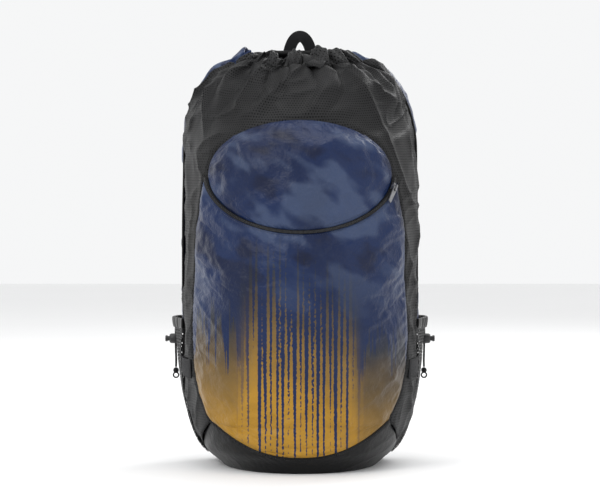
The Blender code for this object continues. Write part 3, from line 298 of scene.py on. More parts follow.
cord_diameter = 0.003
cord_starts = {"right": ((0.16794, 0.13871, 0.19051), (0.17038, 0.14009, 0.18882)),
               "left": ((-0.16839, 0.13941, 0.19008), (-0.16962, 0.14211, 0.18874))}
cord_below = ((0.1724, 0.1413, 0.1855), (0.1731, 0.1417, 0.1815), (0.1733, 0.1418, 0.1720),
              (0.1733, 0.1418, 0.1580), (0.1731, 0.1417, 0.1460), (0.1728, 0.1415, 0.1340),
              (0.1730, 0.1415, 0.1242))
cord_dye = braid_dye("braided_cord", 0.0016)
for tag, side in (("right", 1.0), ("left", -1.0)):
    points = list(cord_starts[tag]) + [(side * x, y, z) for x, y, z in cord_below]
    line = smooth_line(points, 60)
    cord = add_grid("cord_" + tag, round_tube(line, cord_diameter / 2, 10), cord_dye,
                    wrap=True, ends=True)
    knot = nodes["cord_knot_" + tag]
    knot.data.materials.clear()
    knot.data.materials.append(cord_dye)
    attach(cord, "bag")
    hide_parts("pocket_cord_" + tag)
    [tuple(p) for p in line[::2]] + [tuple(line[-1])]
    nodes["cord_lock_" + tag]
    nodes["lock_button_" + tag]


# Mesh body: close black knitted mesh, cut as one piece round the front and sides and gathered
# into a hem at the mouth. Its rows run level, and its edge goes under the pouch's print.
body_height, body_width = 0.554, 0.319
front_depth, back_depth, widest_depth = 0.151, 0.124, 0.062
front_power, back_power = 2.1, 4.5
section_rise, section_width, section_front, section_back, section_drop = np.array([
    (0.000, 0.660, 0.750, 0.910, 0.000), (0.022, 0.745, 0.785, 0.975, 0.000),
    (0.047, 0.835, 0.866, 1.000, 0.000), (0.076, 0.890, 0.875, 1.000, 0.000),
    (0.120, 0.940, 0.852, 1.000, 0.000), (0.191, 0.984, 0.900, 1.000, 0.000),
    (0.270, 1.000, 0.957, 1.000, 0.000), (0.420, 1.000, 1.000, 1.000, 0.000),
    (0.600, 1.000, 0.985, 1.000, 0.000), (0.738, 0.998, 0.940, 1.000, 0.000),
    (0.765, 0.995, 0.905, 1.000, 0.000), (0.790, 0.990, 0.848, 1.000, 0.000),
    (0.815, 0.978, 0.735, 1.000, 0.000), (0.857, 0.945, 0.603, 1.000, 0.000),
    (0.906, 0.880, 0.457, 1.000, 0.000), (0.953, 0.765, 0.298, 1.000, 0.004),
    (0.982, 0.640, 0.200, 0.985, 0.018), (1.000, 0.530, 0.120, 0.955, 0.034),
    (1.012, 0.430, 0.010, 0.880, 0.046)]).T * np.array(
        [body_height, body_width / 2, front_depth, back_depth, body_height])[:, None]
dents = ((-0.24, 0.560, 0.0040, 0.014, 0.060, 58), (0.20, 0.545, 0.0035, 0.016, 0.055, -50),
         (-0.30, 0.400, 0.0045, 0.016, 0.060, 35), (0.34, 0.420, 0.0040, 0.015, 0.055, -38),
         (-0.20, 0.250, 0.0030, 0.014, 0.050, 70), (0.10, 0.720, 0.0035, 0.014, 0.050, 75),
         (-0.10, 0.690, 0.0030, 0.012, 0.045, -70), (0.52, 0.760, 0.0050, 0.020, 0.060, 15),
         (-0.52, 0.780, 0.0050, 0.020, 0.060, -15), (0.50, 0.360, 0.0035, 0.020, 0.070, 60),
         (-0.50, 0.380, 0.0035, 0.020, 0.070, -60), (0.72, 0.600, 0.0025, 0.018, 0.070, 40),
         (-0.72, 0.620, 0.0025, 0.018, 0.070, -40))
gather_start, gather_depth, gather_lift = 0.84, 0.0062, 0.004


def curve_through(places, values, at):
    """Monotone cubic Hermite curve through the values at the places, read where wanted."""
    at = np.clip(at, places[0], places[-1])
    step = np.diff(places)
    rate = np.diff(values) / step
    slope = np.zeros(len(places))
    same_way = rate[:-1] * rate[1:] > 0
    left = 2 * step[1:] + step[:-1]
    right = step[1:] + 2 * step[:-1]
    safe = np.where(same_way, rate[:-1], 1.0), np.where(same_way, rate[1:], 1.0)
    slope[1:-1] = np.where(same_way, (left + right) / (left / safe[0] + right / safe[1]), 0.0)
    slope[0], slope[-1] = rate[0], rate[-1]
    cell = np.clip(np.searchsorted(places, at, side="right") - 1, 0, len(step) - 1)
    width = step[cell]
    t = (at - places[cell]) / width
    return ((2 * t**3 - 3 * t**2 + 1) * values[cell] + (t**3 - 2 * t**2 + t) * width * slope[cell]
            + (3 * t**2 - 2 * t**3) * values[cell + 1] + (t**3 - t**2) * width * slope[cell + 1])


def section_point(turn, width, front, back):
    """Half of a level section: a superellipse, rounder in front of its widest plane than behind
    it. Turn 0 is the front middle and pi the back middle."""
    power = np.where(np.cos(turn) > 0, front_power, back_power)
    x = width * np.abs(np.sin(turn)) ** (2 / power)
    reach = np.where(np.cos(turn) > 0, -(front + widest_depth), back - widest_depth)
    return x, widest_depth + reach * np.abs(np.cos(turn)) ** (2 / power)


turn_steps = np.linspace(0, np.pi, 721)
girth_steps = lengths_along(np.column_stack(
    section_point(turn_steps, body_width / 2, front_depth, back_depth)))
half_girth = girth_steps[-1]
section_climb = np.concatenate([[0.0], np.cumsum(np.sqrt(
    np.diff(section_rise) ** 2 + (np.diff(section_width) ** 2 + np.diff(section_front) ** 2) / 2))])
lip = section_climb[-1]


def climb_at(rise):
    """Way up the cloth at a height above the floor."""
    return np.interp(rise, section_rise, section_climb)


def ramp(value, low, high):
    """Straight slope from 0 at low to 1 at high, level beyond them; low may be the greater."""
    return np.clip((value - low) / (high - low), 0, 1)


def gather_wave(way):
    """Uneven gathers round the mouth, the sum of two cosines, none on the flat back."""
    share = way / half_girth * np.pi
    wave = 0.65 * np.cos(15 * share + 0.6) + 0.45 * np.cos(23 * share + 2.0)
    round_it = np.abs((way + half_girth) % (2 * half_girth) - half_girth) / half_girth
    return wave * ramp(round_it, 0.84, 0.74)


def skin(way, climb):
    """Cloth of the bag at a way round it and a way up it, both in metres: the section at that
    height, pushed out by the gathers near the mouth and in by each dent, a slanted Gauss bell."""
    way, climb = np.broadcast_arrays(np.asarray(way, float), np.asarray(climb, float))
    way = (way + half_girth) % (2 * half_girth) - half_girth
    side = np.where(way < 0, -1.0, 1.0)
    turn = np.interp(np.abs(way), girth_steps, turn_steps)
    width, front, back, rise, drop = (curve_through(section_climb, column, climb) for column in (
        section_width, section_front, section_back, section_rise, section_drop))
    x, y = section_point(turn, width, front, back)
    z = rise - drop * (1 + np.cos(turn)) / 2
    drawn = ramp(climb, climb_at(gather_start * body_height), lip) ** 1.4
    push = gather_depth * drawn * gather_wave(way)
    for place, height, depth, across, along, slant in dents:
        off = way - place * half_girth
        up = climb - climb_at(height * body_height)
        lean = math.radians(slant)
        a = (off * math.cos(lean) + up * math.sin(lean)) / across
        b = (-off * math.sin(lean) + up * math.cos(lean)) / along
        push = push - depth * np.exp(-a * a - b * b)
    return np.stack([side * (x + np.sin(turn) * push), y - np.cos(turn) * push,
                     z + gather_lift * drawn * gather_wave(way + 0.01)], axis=-1)


def outward(points):
    """Unit normals of a grid of points whose columns run round the bag and rows run up it."""
    return unit(np.cross(np.gradient(points, axis=1), np.gradient(points, axis=0)))


def skin_normal(way, climb):
    """Unit normal of the skin, from small steps round and up."""
    small = 0.0012
    round_it = skin(way + small, climb) - skin(way - small, climb)
    up_it = skin(way, np.clip(climb + small, 0, lip)) - skin(way, np.clip(climb - small, 0, lip))
    return unit(np.cross(round_it, up_it))


def off_skin(way, climb, lift):
    """Points at a lift above the skin, along its normal."""
    return skin(way, climb) + skin_normal(way, climb) * np.asarray(lift)[..., None]


def cloth_noise(x, y, seed):
    """Smooth noise of -1 to 1 on a unit lattice of seeded numbers, eased between its points."""
    table = np.random.default_rng(seed).uniform(-1, 1, (64, 64))
    cell_x, cell_y = np.floor(x).astype(int), np.floor(y).astype(int)
    part_x, part_y = (t**3 * (t * (t * 6 - 15) + 10) for t in (x - cell_x, y - cell_y))
    low, high = (table[cell_x % 64, (cell_y + up) % 64] * (1 - part_x)
                 + table[(cell_x + 1) % 64, (cell_y + up) % 64] * part_x for up in (0, 1))
    return low * (1 - part_y) + high * part_y


def creases(x, y, seed, long, short, slant):
    """Creases of cloth: ridged noise, 1 on a crease and 0 between, stretched along a slant."""
    lean = math.radians(slant)
    bent_x = x + 0.35 * short * cloth_noise(y / long, x / long, seed + 7)
    along = bent_x * math.cos(lean) + y * math.sin(lean)
    across = -bent_x * math.sin(lean) + y * math.cos(lean)
    return (1 - np.abs(cloth_noise(along / long, across / short, seed))) ** 3


def edge_distance(way, climb, outline):
    """Distance of points from a closed outline on the flat cloth, and which lie inside it."""
    points = np.column_stack([way.ravel(), climb.ravel()])
    start = outline
    run = np.roll(outline, -1, axis=0) - start
    away = np.empty(len(points))
    within = np.empty(len(points), bool)
    for part in np.array_split(np.arange(len(points)), max(1, len(points) // 6000)):
        p = points[part][:, None, :]
        share = ((p - start) * run).sum(2) / np.maximum((run * run).sum(1), 1e-12)
        away[part] = np.linalg.norm(p - start - np.clip(share, 0, 1)[..., None] * run,
                                    axis=2).min(axis=1)
        end = start + run
        straddle = (start[:, 1] > p[..., 1]) != (end[:, 1] > p[..., 1])
        rise = np.where(run[:, 1] == 0, 1.0, run[:, 1])
        cross = start[:, 0] + (p[..., 1] - start[:, 1]) * run[:, 0] / rise
        within[part] = np.sum(straddle & (p[..., 0] < cross), axis=1) % 2 == 1
    return away.reshape(way.shape), within.reshape(way.shape)


def filled_out(points, free, pressure, slack, frames, reach):
    """A grid of cloth held where free is 0 and blown out by what is in the bag: a short cloth
    simulation of cloth cut a little too large, with each point's way capped at a reach."""
    trial = add_grid("trial", points, None)
    trial.data.materials.clear()
    held = trial.vertex_groups.new(name="held")
    weights = (1 - free).ravel().round(2)
    for weight in np.unique(weights[weights > 0]):
        held.add(np.nonzero(weights == weight)[0].tolist(), float(weight), "REPLACE")
    cloth = trial.modifiers.new("cloth", "CLOTH")
    for setting, value in {
            "quality": 6, "mass": 0.15, "tension_stiffness": 12, "compression_stiffness": 8,
            "shear_stiffness": 4, "bending_stiffness": 0.04, "tension_damping": 8,
            "compression_damping": 8, "use_pressure": True, "uniform_pressure_force": pressure,
            "shrink_min": -slack, "vertex_group_mass": "held", "pin_stiffness": 4}.items():
        setattr(cloth.settings, setting, value)
    cloth.settings.effector_weights.gravity = 0
    cloth.point_cache.frame_start = 1
    cloth.point_cache.frame_end = frames
    for moment in range(1, frames + 1):
        bpy.context.scene.frame_set(moment)
    shaped = trial.evaluated_get(bpy.context.evaluated_depsgraph_get())
    after = np.empty(points.size, np.float32)
    shaped.data.vertices.foreach_get("co", after)
    mesh = trial.data
    bpy.data.objects.remove(trial)
    bpy.data.meshes.remove(mesh)
    bpy.context.scene.frame_set(1)
    moved = after.reshape(points.shape) - points
    far = np.linalg.norm(moved, axis=-1, keepdims=True)
    return points + moved * (reach * np.tanh(far / reach) / np.maximum(far, 1e-9))


def finish_cloth(piece, thickness, slot, *replaced, smooth=1):
    """Give a cloth grid its thickness, inwards, and its smoothing, and seat it on the bag."""
    if thickness:
        wall = piece.modifiers.new("thickness", "SOLIDIFY")
        wall.thickness = thickness
        wall.offset = -1
    if smooth:
        rounded = piece.modifiers.new("smooth", "SUBSURF")
        rounded.levels = smooth
        rounded.render_levels = smooth
    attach(piece, "bag")
    if replaced:
        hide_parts(*replaced)


def cloth_piece(name, points, way, climb, dye, thickness, slot, *replaced, smooth=1):
    """Cloth on the skin: a grid of points, mapped in metres by its ways round and up."""
    piece = add_grid(name, points, dye, np.stack(np.broadcast_arrays(way, climb), axis=-1))
    finish_cloth(piece, thickness, slot, *replaced, smooth=smooth)
    return piece


def front_way(x, climb):
    """Way round at a distance x from the middle plane, on the front of the bag."""
    width = curve_through(section_climb, section_width, climb)
    share = np.clip(np.abs(x) / width, 0, 1)
    return np.sign(x) * np.interp(np.arcsin(share ** (front_power / 2)), turn_steps, girth_steps)


def depth_way(y, climb):
    """Way round at a depth y, front or back of the widest plane, on the right of the bag."""
    front = curve_through(section_climb, section_front, climb)
    back = curve_through(section_climb, section_back, climb)
    ahead = np.clip((widest_depth - y) / (front + widest_depth), 0, 1) ** (front_power / 2)
    behind = np.clip((y - widest_depth) / (back - widest_depth), 0, 1) ** (back_power / 2)
    turn = np.where(y < widest_depth, np.arccos(ahead), np.pi - np.arccos(behind))
    return np.interp(turn, turn_steps, girth_steps)


def back_way(x, climb):
    """Way round at a distance x from the middle plane, on the back of the bag's right half."""
    width = curve_through(section_climb, section_width, climb)
    share = np.clip(x / width, 0, 0.93)
    return np.interp(np.pi - np.arcsin(share ** (back_power / 2)), turn_steps, girth_steps)


flap_width, flap_height, flap_rise = 0.246, 0.146, 0.394
tape_side, tape_middle, tape_start = 0.0055, 0.0036, math.radians(3.5)
pouch_corner_rise, pouch_corner_width = 0.068, 0.240
pouch_bottom_rise, pouch_bottom_power = 0.022, 2.2
boot_rise, back_seam_width, lower_side_rise = 0.010, 0.230, 0.168


def oval(width, height, angles):
    """Points of an oval round the flap's middle, on the flat cloth."""
    climb = climb_at(flap_rise + height / 2 * np.sin(angles))
    return np.column_stack([front_way(width / 2 * np.cos(angles), climb), climb])


zip_angles = np.linspace(np.pi + tape_start, 2 * np.pi - tape_start, 121)
zip_outer = oval(flap_width + 2 * tape_side, flap_height + 2 * tape_middle, zip_angles)
pouch_top = zip_outer[-1]
pouch_climb = np.linspace(climb_at(pouch_corner_rise), pouch_top[1], 60)
pouch_forward = curve_through(climb_at(np.array(
    [0.123, 0.186, 0.254, 0.330, 0.420, 0.487, 0.540, 0.615, 0.700]) * body_height), np.array(
    [0.400, 0.285, 0.238, 0.230, 0.250, 0.280, 0.310, 0.380, 0.480]), pouch_climb) * front_depth
right_pouch = np.column_stack([depth_way(-pouch_forward, pouch_climb), pouch_climb])
right_pouch[:, 0] += np.linspace(0, 1, 60) ** 3 * (pouch_top[0] - right_pouch[-1, 0])
pouch_half = pouch_corner_width / 2
right_pouch[0, 0] = front_way(pouch_half, right_pouch[0, 1])
left_pouch = right_pouch * (-1.0, 1.0)
bottom_x = np.linspace(-pouch_half, pouch_half, 61)
bottom_climb = climb_at(pouch_bottom_rise + (pouch_corner_rise - pouch_bottom_rise)
                        * np.abs(bottom_x / pouch_half) ** pouch_bottom_power)
pouch_bottom = np.column_stack([front_way(bottom_x, bottom_climb), bottom_climb])
flap_top = oval(flap_width, flap_height, np.linspace(0, np.pi, 121))
pouch_outline = np.vstack([pouch_bottom, right_pouch[1:], flap_top[1:-1], left_pouch[::-1][:-1]])

boot_climb = climb_at(boot_rise)
seam_climbs = np.linspace(boot_climb, lip, 120)
side_back = curve_through(climb_at(np.array([0.0, 0.850, 0.930, 1.012]) * body_height),
                          np.array([0.450, 0.450, 0.340, 0.300]), seam_climbs) * back_depth
side_seam = depth_way(side_back, seam_climbs)
back_seam = back_way(back_seam_width / 2, seam_climbs)
foot_ways = np.concatenate([pouch_bottom[30:, 0], [side_seam[0], back_seam[0], half_girth]])
foot_climbs = np.concatenate([bottom_climb[30:], [boot_climb] * 3])


def foot_line(way):
    """Way up the cloth of the seam between the panels and the base, all round the bag."""
    return np.interp(np.abs(way), foot_ways, foot_climbs)


def mesh_dye(name, row, dot, hole, bright=0.016):
    """Knitted black mesh: level rows of round holes, each row half a step on from the last, with a
    painted grey highlight on the yarn between them, painted shade near black in the holes, and a
    clear hole in the middle of each."""
    dye = Dye(name, (0.012, 0.012, 0.013), 0.52, shine=0.13)
    u, v = dye.weave()
    line = v / row
    odd = (line.whole() * 0.5).part() * 2.0
    across = ((u / dot + odd * 0.5).part() - 0.5) * dot
    up = (line.part() - 0.5) * row
    away = (across * across + up * up) ** 0.5
    yarn = (away / (0.5 * min(row, dot))).step(hole, hole + 0.35)
    fuzz = dye.noise(u, v, 0.0, 900.0, 3.0)
    wide = dye.noise(u, v, 0.0, 14.0, 3.0)
    # Painted highlight and painted shade: the yarn is painted grey up to bright, broken by fine and
    # wide noise, and the holes are painted near black.
    light = yarn * (0.35 + fuzz * 0.9) * (0.5 + wide)
    dye.wet("Base Color", dye.shade(light, (0.0015, 0.0015, 0.0015),
                                    (bright, bright, bright * 1.04)))
    dye.emboss(yarn, 0.0009)
    return dye, yarn


def mouth_pleats(way, climb):
    """Pleats that the drawstring gathers, -1.1 to 0.9: the size of a sine round the mouth, bent by
    noise so that no two are alike, and none on the flat back."""
    share = way / half_girth
    wander = 3.4 * cloth_noise(share * 6.0 + 9, climb * 9, 5)
    wave = np.abs(np.sin(19 * share * np.pi / 2 + wander)) ** 0.7 * 2 - 1.1
    height = 0.75 + 0.25 * cloth_noise(share * 14 + 20, climb * 0, 6)
    return wave * height * ramp(np.abs(share), 0.80, 0.70)


body_mesh, body_yarn = mesh_dye("close_mesh", 0.0036, 0.0040, 0.34, 0.023)
body_mesh.wet("Alpha", body_yarn.step(-0.20, 0.10).most(0.90))

columns, rows = 282, 166
mesh_thickness, tuck_under, seam_sink = 0.0012, 0.004, 0.0030
share = np.linspace(-1, 1, columns)[None, :]
height = np.linspace(0, 1, rows)[:, None] ** 0.9
way = share * np.interp(boot_climb + (lip - boot_climb) * height, seam_climbs, side_seam)
foot = foot_line(way[:1]) - tuck_under
climb = foot + (lip - foot) * height
away, within = edge_distance(way, climb, pouch_outline)
near_mouth = ramp(climb, climb_at(0.80 * body_height), lip)
fold = (0.0075 * near_mouth**1.5 * mouth_pleats(way, climb)
        + 0.0062 * creases(way, climb, 11, 0.16, 0.050, 62) * (0.35 + near_mouth)
        + 0.0048 * creases(way, climb, 12, 0.14, 0.045, -58)
        + 0.0026 * creases(way, climb, 13, 0.06, 0.018, 15)
        - 0.0036) * np.clip(away / 0.02 + 0.15, 0, 1)
lift = np.where(within, -seam_sink, fold - seam_sink * ramp(away, 0.006, 0) ** 2)
cloth_piece("mesh_body_cloth", off_skin(way, climb, lift), way, climb, body_mesh.material,
            mesh_thickness, "black_mesh", "mesh_body", smooth=0)


# Front pouch: an oval flap over a printed panel, both of thin coated cloth, bagged out and
# seamed into the mesh, so the cloth puckers along its seams and lies in soft, shiny creases.
navy = (0.0040, 0.0150, 0.0620)
slate, umber = (0.022, 0.024, 0.032), (0.095, 0.062, 0.026)
ochre, gold = (0.230, 0.130, 0.024), (0.370, 0.195, 0.018)


def coated_dye(name, print_bottom, worn_share=0.0):
    """Coated cloth with a soft shine. The print runs from gold at the foot to navy above, with
    plain ragged streaks of navy down the middle and a torn edge at the sides; print_bottom
    moves it down, so a piece high up is all navy. Mostly where the print has turned navy, the
    colour carries painted shade and painted highlights: angular patches painted darker and
    lighter in place of the shaded and lit facets of the folds, and painted shade in soft
    cloudy patches."""
    dye = Dye(name, navy, 0.40, shine=0.24)
    x, y, z = dye.place()
    mottle = dye.noise(x, y, z, 26.0, 4.0, 0.6)
    grit = dye.noise(x, y, z, 900.0)
    cloud = dye.noise(x, y, z * 0.5, 9.0, 3.0)
    ragged = dye.noise(x * 150.0, 0.0, z * 11.0, 1.0, 3.0, 0.65)
    torn = dye.noise(x * 420.0, 0.0, z * 260.0)
    height = z - print_bottom
    right = x.step(-0.06, 0.12)
    middle = 1.0 - (abs(x + (ragged - 0.5) * 0.02)).step(0.060, 0.090)
    fade = height + (mottle - 0.5) * 0.05 + right * 0.045 - middle * 0.060
    ground = dye.node("ValToRGB", {"stops": (
        (0.05, gold), (0.10, ochre), (0.155, umber), (0.205, slate), (0.26, navy))}, {0: fade})
    runs = dye.noise(x * 120.0, 7.0, z * 2.2, 1.0, 2.0, 0.55)
    drips = dye.noise(x * 330.0, 3.0, z * 4.0)
    streak = ((x * 820.0 + ragged * 2.0).sine() * 0.22 + runs * 1.25 + drips * 0.30
              + (torn - 0.5) * 0.60 + height * 1.6)
    streaks = streak.step(1.01, 1.06) * middle
    hem = height + (runs - 0.5) * 0.30 + (drips - 0.5) * 0.24 + (torn - 0.5) * 0.03 + right * 0.03
    fringe = (abs(x) - 0.060).step(0.0, 0.03) * hem.step(0.172, 0.184)
    inked = dye.shade(streaks.most(fringe), ground, navy)
    # Painted light and shade: a noise of angular patches, like the facets of folds, decides where
    # the cloth is painted darker and where lighter.
    facets = dye.noise(x + mottle * 0.02, y, z * 1.7 + x * 0.7 + mottle * 0.02, 11.0, 2.5, 0.5)
    above = height.step(0.17, 0.30)
    # Painted shade on the darker fold facets, stronger higher up.
    dark = dye.shade((0.49 - facets).step(0.0, 0.09) * (above * 0.62 + 0.12), inked,
                     (0.20, 0.22, 0.34), "MULTIPLY")
    # Painted shade in soft cloudy patches, stronger higher up.
    painted_cloud_shade = dye.shade((cloud - 0.46).step(0.0, 0.20) * (above * 0.45 + 0.12), dark,
                     (0.35, 0.36, 0.45), "MULTIPLY")
    # Painted highlight on the lighter fold facets, paler navy from the middle height up.
    light = dye.shade((facets - 0.515).step(0.0, 0.10) * (0.20 + grit * 0.12)
                      * height.step(0.15, 0.34), painted_cloud_shade, (0.12, 0.16, 0.25))
    rubbed = dye.noise(x * 1.6, y * 1.6, z, 34.0, 6.0, 0.72)
    bare = (height - 0.40).step(0.0, 0.05) * (rubbed - 0.50).step(0.0, 0.16) * worn_share
    dye.wet("Base Color", dye.shade(bare, light, (0.075, 0.105, 0.185)))
    dye.wet("Roughness", 0.28 + mottle * 0.14 + grit * 0.05)
    crinkle = dye.noise(x, y, z, 75.0, 4.0, 0.62)
    weave = (x * 5200.0).sine() * (z * 5200.0).sine()
    dye.emboss(crinkle * 2.2 + grit * 0.10 + weave * 0.03, 0.0011)
    return dye.material


def patch_grid(bottom, right, top, left, columns, rows):
    """Grid over a four-sided piece of cloth by Coons: the four edges, each read by its own
    length, are blended across and up, less the blend of the corners."""
    def read(edge, shares):
        """Points of an edge at shares of its length."""
        lengths = lengths_along(edge)
        return read_along(edge, lengths, shares * lengths[-1])
    s = np.linspace(0, 1, columns)
    t = np.linspace(0, 1, rows)
    low, high = read(bottom, s)[None], read(top, s)[None]
    near, far = read(left, t)[:, None], read(right, t)[:, None]
    s, t = s[None, :, None], t[:, None, None]
    grid = (1 - t) * low + t * high + (1 - s) * near + s * far
    corners = ((1 - s) * (1 - t) * bottom[0] + s * (1 - t) * bottom[-1]
               + (1 - s) * t * top[0] + s * t * top[-1])
    return np.moveaxis(grid - corners, -1, 0)


def seam_pucker(away, way, climb, seed, pitch=0.009, depth=0.0009, reach=0.011):
    """Small waves that run square to a seam and die away from it, and the dip of the seam."""
    turn = 2 * np.pi * (way + climb) / pitch + 2.5 * cloth_noise(way / 0.03, climb / 0.03, seed)
    strength = 0.6 + 0.4 * cloth_noise(way / 0.05, climb / 0.05, seed + 1)
    return (depth * np.sin(turn) * strength * np.exp(-away / reach) * ramp(away, 0, 0.002)
            - 0.0016 * np.exp(-(away / 0.0026) ** 2))


def coated_folds(way, climb, away, seed, height):
    """Folds of the filled pouch: long soft slanted creases and short crossing ones, quiet at the
    seams, with the seam's own puckers."""
    rows = ((0.60, 0.150, 0.050, 38), (0.55, 0.130, 0.042, -34), (0.30, 0.050, 0.016, 12),
            (0.26, 0.045, 0.014, -62))
    folds = sum(share * creases(way, climb, seed + k, long, short, slant)
                for k, (share, long, short, slant) in enumerate(rows))
    return (height * (folds - 0.35) * ramp(away, 0, 0.016) ** 0.7
            + seam_pucker(away, way, climb, seed))


cloth_seat, seam_margin, coated_thickness = 0.0004, 0.006, 0.0010


def bagged_out(way, climb, away, pressure, slack, frames, reach, folds):
    """Points of thin cloth held along its seams, blown out, then folded along its own normals."""
    free = ramp(away, 0, seam_margin)
    points = filled_out(off_skin(way, climb, cloth_seat), free, pressure, slack, frames, reach)
    return points + outward(points) * folds[..., None]


pouch_dye = coated_dye("coated_print", 0.0)
flap_dye = coated_dye("coated_navy", -0.30)
across, up = np.meshgrid(np.linspace(-1, 1, 64), np.linspace(-1, 1, 44))
disc_x = across * np.sqrt(1 - up**2 / 2)
disc_y = up * np.sqrt(1 - across**2 / 2)
climb = climb_at(flap_rise + flap_height / 2 * disc_y)
way = front_way(flap_width / 2 * disc_x, climb)
away = np.clip(1 - np.hypot(disc_x, disc_y), 0, 1) * flap_height / 2
points = bagged_out(way, climb, away, 3.0, 0.035, 22, 0.008,
                    coated_folds(way, climb, away, 31, 0.0042))
cloth_piece("flap_cloth", points, way, climb, flap_dye, coated_thickness, "navy_print",
            "flap_panel", smooth=2)

way, climb = patch_grid(pouch_bottom, right_pouch, zip_outer, left_pouch, 102, 116)
away, _ = edge_distance(way, climb, np.vstack([pouch_bottom, right_pouch[1:], zip_outer[::-1][1:],
                                               left_pouch[::-1][1:-1]]))
points = bagged_out(way, climb, away, 2.6, 0.030, 22, 0.008,
                    coated_folds(way, climb, away, 41, 0.0048))
cloth_piece("front_cloth", points, way, climb, pouch_dye, coated_thickness, "ombre_print",
            "front_panel")


# Zip under the flap: black tape on both sides of a closed coil, with its slider at the right end.
# Slider and pull are cast metal with a dark nickel finish.
tape_dye = braid_dye("zip_tape_weave", 0.0018)
tape_lap, tape_thickness = 0.001, 0.0010
tooth_size, tooth_pitch, tooth_lift = (0.0046, 0.0011, 0.0013), 0.0016, 0.0011
stitch_size, mesh_stitch_step = (0.0021, 0.0006, 0.0006), 0.003
inner_line = oval(flap_width - tape_lap, flap_height - tape_lap, zip_angles)
outer_line = oval(flap_width + 2 * tape_side + tape_lap, flap_height + 2 * tape_middle + tape_lap,
                  zip_angles)
share = np.linspace(0, 1, 9)[:, None, None]
way, climb = np.moveaxis(inner_line * share + outer_line * (1 - share), -1, 0)
points = off_skin(way, climb, 0.0002 + 0.0006 * np.sin(np.pi * share[..., 0]))
cloth_piece("zip_tape_cloth", points, way, climb, tape_dye, tape_thickness, "black_webbing",
            "zip_tape", smooth=0)


def little_beads(name, middles, along, out, size, material):
    """Hundreds of small lozenges in one mesh, for teeth and stitches: each has its two points
    and two rings of four, sized along, across and out of the cloth."""
    along, out = unit(along), unit(out)
    axes = np.stack([along, np.cross(along, out), out], axis=1)
    ring = ((1, 0), (0, 1), (-1, 0), (0, -1))
    corners = [(end, *spot) for end in (-0.5, 0.5) for spot in ring] + [(-1, 0, 0), (1, 0, 0)]
    points = middles[:, None] + np.array(corners) * np.array(size) / 2 @ axes
    faces = [(k, (k + 1) % 4, 4 + (k + 1) % 4, 4 + k) for k in range(4)]
    caps = [(8, (k + 1) % 4, k) for k in range(4)] + [(9, 4 + k, 4 + (k + 1) % 4) for k in range(4)]
    base = np.arange(len(middles))[:, None, None] * len(corners)
    data = bpy.data.meshes.new(name)
    data.from_pydata(points.reshape(-1, 3).tolist(), [], (base + faces).reshape(-1, 4).tolist()
                     + (base + caps).reshape(-1, 3).tolist())
    data.materials.append(material)
    piece = bpy.data.objects.new(name, data)
    bpy.context.scene.collection.objects.link(piece)
    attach(piece, "bag")


def evenly(line, pitch):
    """Points, directions and their places along a line at an even pitch."""
    lengths = lengths_along(line)
    at = np.arange(pitch / 2, lengths[-1], pitch)
    middle = read_along(line, lengths, at)
    return middle, read_along(line, lengths, at + pitch * 0.4) - middle, at


def sew(name, way, climb, lift, thread, pitch=0.0032):
    """Row of stitches on the skin along a line of ways round and up, lifted to sit on the cloth."""
    line = off_skin(way, climb, lift)
    middle, along, at = evenly(line, pitch)
    normal = read_along(skin_normal(way, climb), lengths_along(line), at)
    little_beads(name, middle, along, normal, stitch_size, thread)


def yarn_dye(name, colour):
    """Sewing thread: plain dyed yarn with a little sheen."""
    dye = Dye(name, colour, 0.55, sheen=0.3)
    x, y, z = dye.place()
    twist = dye.noise(x, y, z, 1600.0)
    dye.wet("Base Color", dye.shade(twist, lit(colour, 0.7), lit(colour, 1.3)))
    return dye.material


def metal_dye(name):
    """Cast zip metal with a dark nickel finish, polished where it is handled."""
    dye = Dye(name, (0.20, 0.20, 0.21), 0.32, metallic=1.0)
    x, y, z = dye.place()
    rub = dye.noise(x, y, z, 300.0, 3.0)
    dye.wet("Roughness", 0.24 + rub * 0.22)
    dye.wet("Base Color", dye.shade(rub, (0.13, 0.13, 0.14), (0.42, 0.42, 0.43)))
    dye.emboss(rub, 0.0002)
    return dye.material


black_yarn = yarn_dye("black_yarn", (0.010, 0.010, 0.011))
navy_yarn = yarn_dye("navy_yarn", (0.010, 0.020, 0.060))
middle_line = oval(flap_width + tape_side, flap_height + tape_middle, zip_angles)
way, climb = middle_line.T
out = skin_normal(way, climb)
teeth, along, _ = evenly(off_skin(way, climb, tooth_lift), tooth_pitch)
tooth_out = read_along(out, np.linspace(0, 1, len(out)), np.linspace(0, 1, len(teeth)))
little_beads("zip_teeth", teeth, np.cross(along, tooth_out), tooth_out, tooth_size,
             yarn_dye("coil_nylon", (0.020, 0.020, 0.022)))
zip_metal = metal_dye("dark_nickel")
for name in ("zip_slider", "zip_pull"):
    nodes[name].data.materials.clear()
    nodes[name].data.materials.append(zip_metal)
for name, width, height, low, high in (("flap_edge_stitches", -0.008, -0.008, 0.0, 2 * np.pi),
                                       ("zip_edge_stitches", 0.0170, 0.0130, 3.26, 6.16)):
    way, climb = oval(flap_width + width, flap_height + height, np.linspace(low, high, 240)).T
    sew(name, way, climb, cloth_seat, navy_yarn)
for tag, side, (way, climb) in (("right", 1, right_pouch.T), ("left", -1, left_pouch.T)):
    sew("pouch_side_stitches_" + tag, way + side * mesh_stitch_step, climb, -0.0012, black_yarn)


